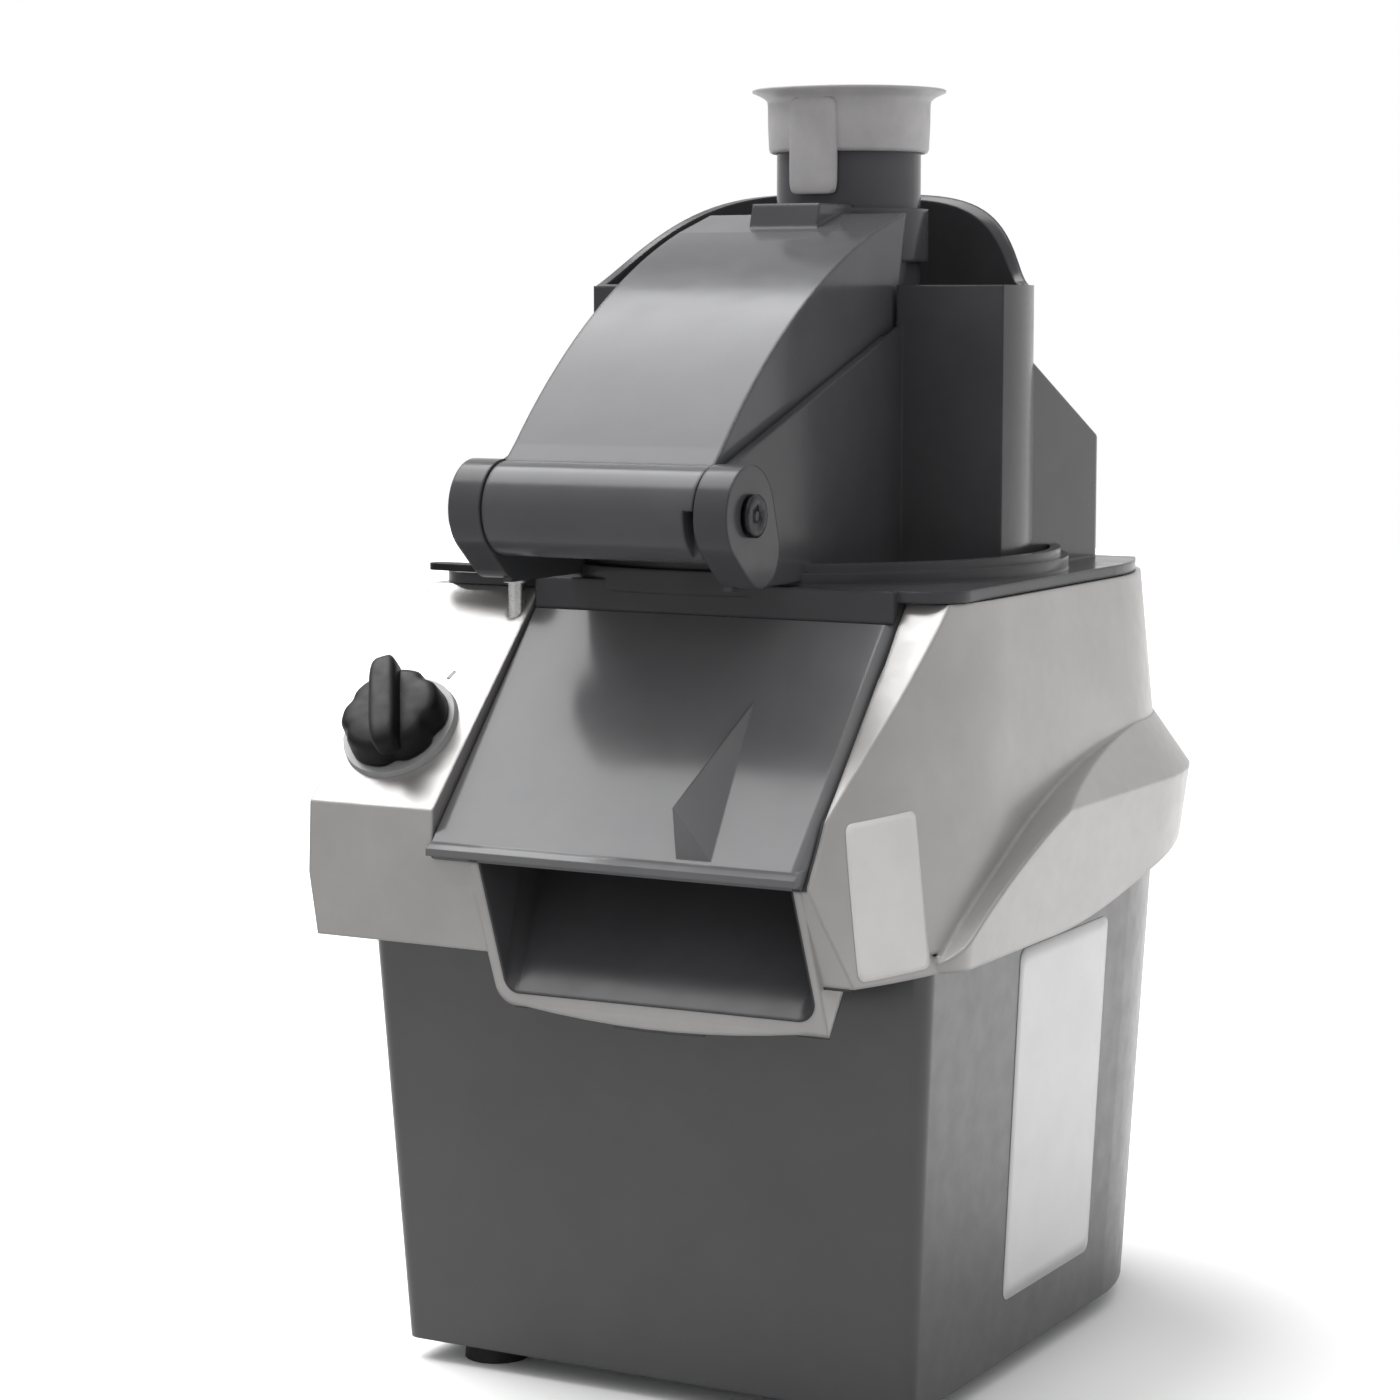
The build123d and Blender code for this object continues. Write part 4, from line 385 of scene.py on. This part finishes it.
def turned_steel():
    """Stainless steel turned on a lathe: bright, with fine rings that spread the highlight."""
    made, tree, shader, place = new_material("turned_stainless_steel")
    shade(shader, {"Base Color": mottled(tree, place, "#b9b9b7", "#cacac8", 6),
                   "Roughness": drifting(tree, place, 0.2, 0.34, 0.6, (0.2, 0.2, 5)),
                   "Normal": grain(tree, place, 0.5, 0.012, stretch=(0.2, 0.2, 4))},
          Metallic=1.0)
    return made


def zinc_plated_steel():
    """Zinc-plated steel sheet and screws: cool grey with a faint crystalline bloom."""
    made, tree, shader, place = new_material("zinc_plated_steel")
    shade(shader, {"Base Color": mottled(tree, place, "#9fa2a3", "#b7babb", 4),
                   "Roughness": drifting(tree, place, 0.32, 0.5, 3),
                   "Normal": grain(tree, place, 0.9, 0.01)}, Metallic=1.0)
    return made


def raw_casting():
    """Aluminium as it comes from the die: pale grey, slightly rough, with darker flow marks."""
    made, tree, shader, place = new_material("as_cast_aluminium")
    shade(shader, {"Base Color": mottled(tree, place, "#9b9b99", "#b3b3b0", 11),
                   "Roughness": drifting(tree, place, 0.42, 0.6, 4),
                   "Normal": grain(tree, place, 0.8, 0.05)}, Metallic=1.0)
    return made


def ground_knife_steel():
    """Hardened knife steel, ground: long scratches across the blade and a bright reflection."""
    made, tree, shader, place = new_material("ground_knife_steel")
    shade(shader, {"Base Color": mottled(tree, place, "#c8c9c9", "#dadbdb", 2, (0.2, 4, 1)),
                   "Roughness": drifting(tree, place, 0.14, 0.26, 0.7, (0.1, 4, 1)),
                   "Normal": grain(tree, place, 0.4, 0.006, stretch=(0.1, 4, 1))},
          Metallic=1.0)
    return made


def motor_enamel():
    """Stoved motor enamel over cast iron: black with an orange-peel skin."""
    made, tree, shader, place = new_material("stoved_motor_enamel")
    shade(shader, {"Base Color": mottled(tree, place, "#232326", "#2d2d30", 18),
                   "Roughness": drifting(tree, place, 0.34, 0.48, 8),
                   "Normal": grain(tree, place, 1.6, 0.05)}, IOR=1.52)
    return made


def circuit_board():
    """Glass-fibre board under green solder mask, its tracks showing through as paler lines."""
    made, tree, shader, place = new_material("solder_mask_on_glass_fibre")
    upright = add_node(tree, "ShaderNodeMapping", {"Vector": place, "Rotation": (pi / 2, 0, 0)})
    tracks = add_node(tree, "ShaderNodeTexBrick",
                      {"Vector": upright.outputs[0], "Scale": 1.0, "Color1": colour("#1f5a34"),
                       "Color2": colour("#1b4f2e"), "Mortar": colour("#3c7d4c"),
                       "Mortar Size": 0.0004, "Brick Width": 0.009, "Row Height": 0.004})
    shade(shader, {"Base Color": tracks.outputs["Color"],
                   "Roughness": drifting(tree, place, 0.25, 0.4, 5)}, IOR=1.5)
    return made


def drawn_can():
    """Drawn aluminium can of the capacitor: clean metal with fine lengthwise draw lines."""
    made, tree, shader, place = new_material("drawn_aluminium_can")
    shade(shader, {"Base Color": mottled(tree, place, "#adafb1", "#c2c4c6", 3, (3, 0.1, 3)),
                   "Roughness": drifting(tree, place, 0.26, 0.38, 1.5, (3, 0.1, 3))},
          Metallic=1.0)
    return made


def sign_film(name, shade_dark, shade_light):
    """Polyester film without print: a flat satin sheet with the faint waviness of glued film."""
    made, tree, shader, place = new_material(name)
    shade(shader, {"Base Color": mottled(tree, place, shade_dark, shade_light, 30),
                   "Roughness": drifting(tree, place, 0.28, 0.36, 12),
                   "Normal": grain(tree, place, 14, 0.02)}, IOR=1.57)
    return made


FINISHES = {
    moulded_abs: ["base_casing"],
    silver_lacquer: ["upper_housing"],
    gloss_black: ["feed_hopper"],
    gloss_hood: ["chute_hood"],
    gloss_arm: ["arm_cover", "feed_tube"],
    moulded_polyamide: ["pestle"],
    black_knob_plastic: ["control_knob", "latch_lever", "rotary_switch", "cable_gland",
                         "pusher_plate", "ejector_plate"],
    # the knob ring's grey is painted shade for the knob's shadow on the panel
    ring_grey_painted_shade: ["knob_ring"],
    moulded_rubber: ["rubber_feet", "drive_belt", "shaft_seal"],
    blackened_steel: ["arm_hinge_pin"],
    turned_steel: ["head_hinge_pin", "latch_post", "drive_shaft", "lower_bearing",
                   "upper_bearing", "knob_stem", "motor_rotor"],
    zinc_plated_steel: ["base_plate", "base_screws", "housing_screws", "motor_plate",
                        "motor_plate_screws", "motor_screws", "capacitor_clip",
                        "board_bracket", "shaft_nut", "bracket_bolts"],
    raw_casting: ["bearing_housing", "hinge_brackets", "spindle_pulley", "motor_pulley",
                  "disc_hub", "cutting_disc"],
    ground_knife_steel: ["disc_blades"],
    motor_enamel: ["motor_body"],
    circuit_board: ["control_board"],
    drawn_can: ["capacitor"],
}
finishes = {}
for make, nodes in FINISHES.items():
    finishes[make] = make()
    for node in nodes:
        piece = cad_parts[node]
        piece.data.materials.clear()
        piece.data.materials.append(finishes[make])


def finish(piece, body, material, stands_for=None):
    """Gives a new piece its material, body and slot, and hides the node that it stands for."""
    piece.data.materials.clear()
    piece.data.materials.append(material)
    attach(piece, body)
    if stands_for:
        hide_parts(stands_for)


def middle_of(node):
    """The middle of a node's box."""
    return np.array(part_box(node)).mean(axis=0)


# The knob: a scalloped, domed skirt with a raised pointer bar across it. Heights are from its foot

PANEL_TILT = radians(45)
RING_HALF_MM, KNOB_GAP_MM = 1.25, 0.4
KNOB_R_MM, KNOB_DOME_MM, KNOB_TOP_MM = 19.5, 10.5, 16.5
KNOB_BORE_R_MM, KNOB_BORE_MM = 3.2, 6.0
POINTER_TURN = radians(115)
SCALLOPS = [radians(turn) for turn in (78, 152, 215, 262, 310, 22)]
SCALLOP_MM, SCALLOP_SPREAD = 1.9, 0.17
BAR_LIFT_MM, BAR_SHIFT_MM, BAR_POWER = 2.6, 0.6, 4
BAR_HALF_MM = (KNOB_R_MM + 2.0, 5.4, KNOB_TOP_MM / 2 - 2.4)
NOSE_INSET_MM, NOSE_DROP_MM, NOSE_POWER = 4.0, 1.5, 3.4
NOSE_HALF_MM = (6.4, 4.6, KNOB_TOP_MM / 2 - 3.2)
panel_up = np.array([0.0, cos(PANEL_TILT), sin(PANEL_TILT)])
panel_out = np.array([0.0, -sin(PANEL_TILT), cos(PANEL_TILT)])
panel_right = np.array([1.0, 0.0, 0.0])


def scalloped(turn, radius):
    """The skirt's radius, cut by shallow finger scallops that fade towards the middle. They are
    counted a quarter turn on from where turned() starts."""
    turn = turn + pi / 2
    depth = sum(np.exp(-(((turn - at + pi) % (2 * pi) - pi) / SCALLOP_SPREAD) ** 2)
                for at in SCALLOPS)
    return radius - SCALLOP_MM * depth * (radius / KNOB_R_MM) ** 3


knob_foot = middle_of("knob_ring") + panel_out * (RING_HALF_MM + KNOB_GAP_MM) * MM
knob_profile = [(KNOB_BORE_R_MM, KNOB_BORE_MM), (KNOB_BORE_R_MM, 0.0), (KNOB_R_MM - 0.6, 0.0),
                (KNOB_R_MM, 0.6), (KNOB_R_MM - 0.2, 3.0), (KNOB_R_MM - 0.9, KNOB_DOME_MM - 2.4),
                (KNOB_R_MM - 2.0, KNOB_DOME_MM - 0.8), (KNOB_R_MM - 4.2, KNOB_DOME_MM),
                (KNOB_R_MM - 9.0, KNOB_DOME_MM + 0.6), (AXIS_MM, KNOB_DOME_MM + 0.8)]
knob_skirt = turned("knob_skirt", knob_foot, panel_out, knob_profile, 120, scalloped)
pointer = cos(POINTER_TURN) * panel_right + sin(POINTER_TURN) * panel_up
beside = np.cross(panel_out, pointer)
bar_axes = (pointer, beside, panel_out)
bar_middle = knob_foot + panel_out * (KNOB_TOP_MM / 2 + BAR_LIFT_MM) * MM
knob_bar = lozenge("knob_bar", bar_middle + pointer * BAR_SHIFT_MM * MM, bar_axes, BAR_HALF_MM,
                   BAR_POWER)
nose_offset = (pointer * (KNOB_R_MM - NOSE_INSET_MM) - panel_out * NOSE_DROP_MM) * MM
knob_nose = lozenge("knob_nose", bar_middle + nose_offset, bar_axes, NOSE_HALF_MM, NOSE_POWER)
knob = join("control_knob_grip", [knob_skirt, knob_bar, knob_nose])
finish(knob, "knob", finishes[black_knob_plastic], "control_knob")

# The pestle: a thin dished flange, a skirt over the tube, a tongue down its front and the spigot
# in the bore. Heights are from the flange's rim, downwards negative

pestle_low, pestle_high = np.array(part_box("pestle"))
tube_high = np.array(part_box("feed_tube"))[1]
pestle_axis = np.array([*middle_of("pestle")[:2], pestle_high[2]])
FLANGE_R_MM = (pestle_high[0] - pestle_low[0]) / 2 / MM
SKIRT_R_MM, SKIRT_LOW_MM, SPIGOT_R_MM = 31.0, -24.0, 24.9
TUBE_GAP_MM = 0.4
TUBE_TOP_MM = (tube_high[2] - pestle_high[2]) / MM + TUBE_GAP_MM
SPIGOT_LOW_MM = (pestle_low[2] - pestle_high[2]) / MM
TUBE_OUTER_MM = 28.1
pestle_profile = [(AXIS_MM, -1.9), (24.0, -1.9), (27.0, -1.6), (31.0, -0.9),
                  (FLANGE_R_MM - 1.6, -0.1), (FLANGE_R_MM - 0.6, 0.0), (FLANGE_R_MM, -0.4),
                  (FLANGE_R_MM - 0.2, -1.1), (FLANGE_R_MM - 2.4, -2.0),
                  (SKIRT_R_MM + 1.4, -3.2), (SKIRT_R_MM + 0.2, -4.4), (SKIRT_R_MM, -6.0),
                  (SKIRT_R_MM - 0.1, -14.0), (SKIRT_R_MM - 0.5, SKIRT_LOW_MM + 1.6),
                  (SKIRT_R_MM - 1.0, SKIRT_LOW_MM + 0.4), (SKIRT_R_MM - 1.8, SKIRT_LOW_MM),
                  (TUBE_OUTER_MM + 0.3, SKIRT_LOW_MM + 0.2), (TUBE_OUTER_MM, SKIRT_LOW_MM + 1.0),
                  (TUBE_OUTER_MM, TUBE_TOP_MM), (SPIGOT_R_MM, TUBE_TOP_MM),
                  (SPIGOT_R_MM, SPIGOT_LOW_MM + 2.0), (SPIGOT_R_MM - 0.6, SPIGOT_LOW_MM + 0.5),
                  (SPIGOT_R_MM - 2.0, SPIGOT_LOW_MM), (AXIS_MM, SPIGOT_LOW_MM)]
pestle_turned = turned("pestle_turned", pestle_axis, (0, 0, 1), pestle_profile, 96)
TONGUE_HALF_MM, TONGUE_POWER = (9.5, 1.7, 18.0), 9
TONGUE_INSET_MM, TONGUE_DOWN_MM = 1.0, -22.0
tongue_middle = pestle_axis + np.array([0.0, -(SKIRT_R_MM - TONGUE_INSET_MM), TONGUE_DOWN_MM]) * MM
tongue = lozenge("pestle_tongue", tongue_middle, np.eye(3), TONGUE_HALF_MM, TONGUE_POWER)
finish(join("pestle_moulding", [pestle_turned, tongue]), "pestle", finishes[moulded_polyamide],
       "pestle")

# Socket heads on the ends of the arm's hinge pin

pin_low, pin_high = np.array(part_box("arm_hinge_pin"))
pin_middle = (pin_low + pin_high) / 2
PIN_CAP_MM, PIN_CAP_R_MM, PIN_KEY_MM = 2.8, 7.3, 3.0
PIN_CAP_FOOT_MM = 2.5
pin_half = (pin_high[0] - pin_low[0]) / 2 - PIN_CAP_FOOT_MM * MM
pin_ends = [(pin_middle + np.array([side * pin_half, 0, 0]), (side, 0, 0)) for side in (-1, 1)]
pin_heads = cap_screws("hinge_pin_heads", pin_ends, PIN_CAP_R_MM, PIN_CAP_MM, PIN_KEY_MM)
finish(pin_heads, "feed_head", finishes[blackened_steel])

# Printed marks beside the knob: three plain dashes, no letters

MARK_REACH_MM, MARK_LENGTH_MM, MARK_HALF_MM = 25.5, 4.0, 0.7
MARK_TURNS = (radians(70), radians(115), radians(160))
mark_ink = sign_film("printed_grey_ink", "#6f6f70", "#777778")
for number, turn in enumerate(MARK_TURNS):
    out = cos(turn) * panel_right + sin(turn) * panel_up
    aside = np.cross(panel_out, out)
    middle = knob_foot + out * (MARK_REACH_MM + MARK_LENGTH_MM / 2) * MM
    mark_corners = [
        (middle + (out * along * MARK_LENGTH_MM / 2 + aside * across * MARK_HALF_MM) * MM) / MM
        for along, across in ((-1, -1), (-1, 1), (1, 1), (1, -1))]
    mark = film_on(f"panel_mark_{number}", "upper_housing", mark_corners, -panel_out,
                   round_mm=0.3, lift_mm=0.06, rings=4)
    finish(mark, "machine", mark_ink)

# Bare plates where the photo has a printed plate and a sticker. Corners are in mm

SIDE_PLATE_X = 130.0            # off the base's side, where the rays start
SIDE_PLATE = [(-50.0, 31.0), (29.0, 31.0), (27.0, 161.0), (-54.0, 161.0)]
CORNER_PLATE = [(103.1, -165.4, 167.2), (113.0, -132.6, 168.0), (103.1, -124.2, 219.4),
                (90.1, -150.7, 216.9)]
CORNER_PLATE_INWARD = (-0.76, 0.65, 0.0)
side_plate = film_on("side_plate", "base_casing", [(SIDE_PLATE_X, y, z) for y, z in SIDE_PLATE],
                     (-1, 0, 0))
finish(side_plate, "machine", sign_film("polyester_film_grey", "#cecece", "#d4d4d4"))
corner_plate = film_on("corner_plate", "upper_housing", CORNER_PLATE, CORNER_PLATE_INWARD,
                       round_mm=3.0)
finish(corner_plate, "machine", sign_film("polyester_film_pale", "#c6c3c1", "#cdcac8"))

# The chute's black liner, a thin shell on the inside of the casting's channel. Its black is partly
# the channel's own dark inside and partly painted shade for the shadow in the chute

CHANNEL_LOW, CHANNEL_HIGH = (-50.0, -172.0, 144.0), (96.0, -60.0, 232.0)
CHANNEL_MIDDLE_X = 20.0
FRONT_FACING = -0.8             # a face with its normal's y below this is on the outer front
OUT_FACING = 0.05               # a face that looks away from the middle more is on an outer wall
LINER_T_MM, LINER_LIFT_MM = 0.8, 0.15


def liner(name, node, low_mm, high_mm):
    """The faces of a node inside a box that look into the channel, thickened to lie over it."""
    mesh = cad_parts[node].data
    inside = [face for face in mesh.polygons
              if all(low <= at / MM <= high
                     for low, at, high in zip(low_mm, face.center, high_mm))
              and face.normal[1] > FRONT_FACING
              and face.normal[0] * np.sign(face.center[0] / MM - CHANNEL_MIDDLE_X) < OUT_FACING]
    used = sorted({corner for face in inside for corner in face.vertices})
    renumbered = {old: new for new, old in enumerate(used)}
    made = bpy.data.meshes.new(name)
    made.from_pydata([mesh.vertices[old].co for old in used], [],
                     [[renumbered[corner] for corner in face.vertices] for face in inside])
    made.validate()
    lined = bpy.data.objects.new(name, made)
    bpy.context.scene.collection.objects.link(lined)
    shell = lined.modifiers.new("thickness", "SOLIDIFY")
    shell.thickness = (LINER_T_MM + LINER_LIFT_MM) * MM
    shell.offset = 1.0
    return lined


chute_liner_dark_and_shade = liner("chute_liner_dark_and_shade", "upper_housing", CHANNEL_LOW, CHANNEL_HIGH)
finish(chute_liner_dark_and_shade, "machine", finishes[gloss_black])

# Camera at the photograph's angle

CAMERA_PLACE = (0.5910, -1.1625, 0.3874)
CAMERA_TURN = radians(28.77)
CAMERA_DIP = radians(6.52)
LENS_MM, SENSOR_MM = 88.66, 36.0
camera = bpy.data.objects.new("photo_camera", bpy.data.cameras.new("photo_camera"))
camera.location = CAMERA_PLACE
camera.rotation_euler = (pi / 2 - CAMERA_DIP, 0, CAMERA_TURN)
camera.data.lens = LENS_MM
camera.data.sensor_width = SENSOR_MM
camera.data.clip_end = 50.0
bpy.context.scene.collection.objects.link(camera)
bpy.context.scene.camera = camera

# Floor, backdrop and soft studio light

FLOOR_HALF = 4.0
PAPER_DARK_Y, PAPER_LIGHT_Y = -0.4, 0.5
BRIGHT_SIDE = (0.20, 0.80, 0.56)        # the room is bright behind and above
WORLD_FRONT, WORLD_BACK = 0.12, 0.95
corners = np.array([[[-FLOOR_HALF, -FLOOR_HALF, 0], [-FLOOR_HALF, FLOOR_HALF, 0]],
                    [[FLOOR_HALF, -FLOOR_HALF, 0], [FLOOR_HALF, FLOOR_HALF, 0]]])
floor = grid_mesh("studio_floor", corners, smooth=False)


def white_sweep():
    """Matt white studio paper. It keeps the object's shadow and looks white. What it throws back
    on the object fades towards the front, where a studio is dark."""
    made, tree, shader, place = new_material("white_studio_paper")
    depth = add_node(tree, "ShaderNodeSeparateXYZ", {"Vector": place}).outputs["Y"]
    fade = add_node(tree, "ShaderNodeMapRange",
                    {"Value": depth, "From Min": PAPER_DARK_Y, "From Max": PAPER_LIGHT_Y})
    thrown = add_node(tree, "ShaderNodeMixRGB",
                      {"Fac": fade.outputs["Result"], "Color1": colour("#b2b2b2"),
                       "Color2": colour("#ececec")})
    seen = add_node(tree, "ShaderNodeLightPath").outputs["Is Camera Ray"]
    paper = add_node(tree, "ShaderNodeMixRGB",
                     {"Fac": seen, "Color1": thrown.outputs[0],
                      "Color2": mottled(tree, place, "#f6f6f6", "#fafafa", 400)})
    shade(shader, {"Base Color": paper.outputs[0]}, Roughness=0.9)
    return made


floor.data.materials.append(white_sweep())
world = bpy.data.worlds.new("studio")
bpy.context.scene.world = world
world.use_nodes = True
sky = world.node_tree
sky.nodes.clear()
direction = add_node(sky, "ShaderNodeTexCoord").outputs["Generated"]
towards_back = add_node(sky, "ShaderNodeVectorMath", {0: direction, 1: BRIGHT_SIDE},
                        operation="DOT_PRODUCT").outputs["Value"]
brightness = add_node(sky, "ShaderNodeMapRange",
                      {"Value": towards_back, "From Min": -0.9, "From Max": 0.9,
                       "To Min": WORLD_FRONT, "To Max": WORLD_BACK},
                      interpolation_type="SMOOTHSTEP").outputs["Result"]
room = add_node(sky, "ShaderNodeBackground", {"Color": colour("#ffffff"), "Strength": brightness})
backdrop = add_node(sky, "ShaderNodeBackground", {"Color": colour("#ffffff"), "Strength": 1.0})
to_camera = add_node(sky, "ShaderNodeLightPath").outputs["Is Camera Ray"]
mixed = add_node(sky, "ShaderNodeMixShader",
                 {0: to_camera, 1: room.outputs[0], 2: backdrop.outputs[0]})
add_node(sky, "ShaderNodeOutputWorld", {"Surface": mixed.outputs[0]})


def broad_sun(name, towards, strength, spread):
    """An even light from one direction, softened by the width of its disc in degrees."""
    lamp = bpy.data.lights.new(name, "SUN")
    lamp.energy, lamp.angle = strength, radians(spread)
    made = bpy.data.objects.new(name, lamp)
    made.rotation_euler = Vector(towards).to_track_quat("Z", "Y").to_euler()
    bpy.context.scene.collection.objects.link(made)


bpy.context.scene.view_settings.view_transform = "Standard"
broad_sun("overhead_box", (-0.48, 0.06, 0.86), 3.3, 48)
broad_sun("front_glow", (-0.20, -0.70, 0.70), 1.0, 100)
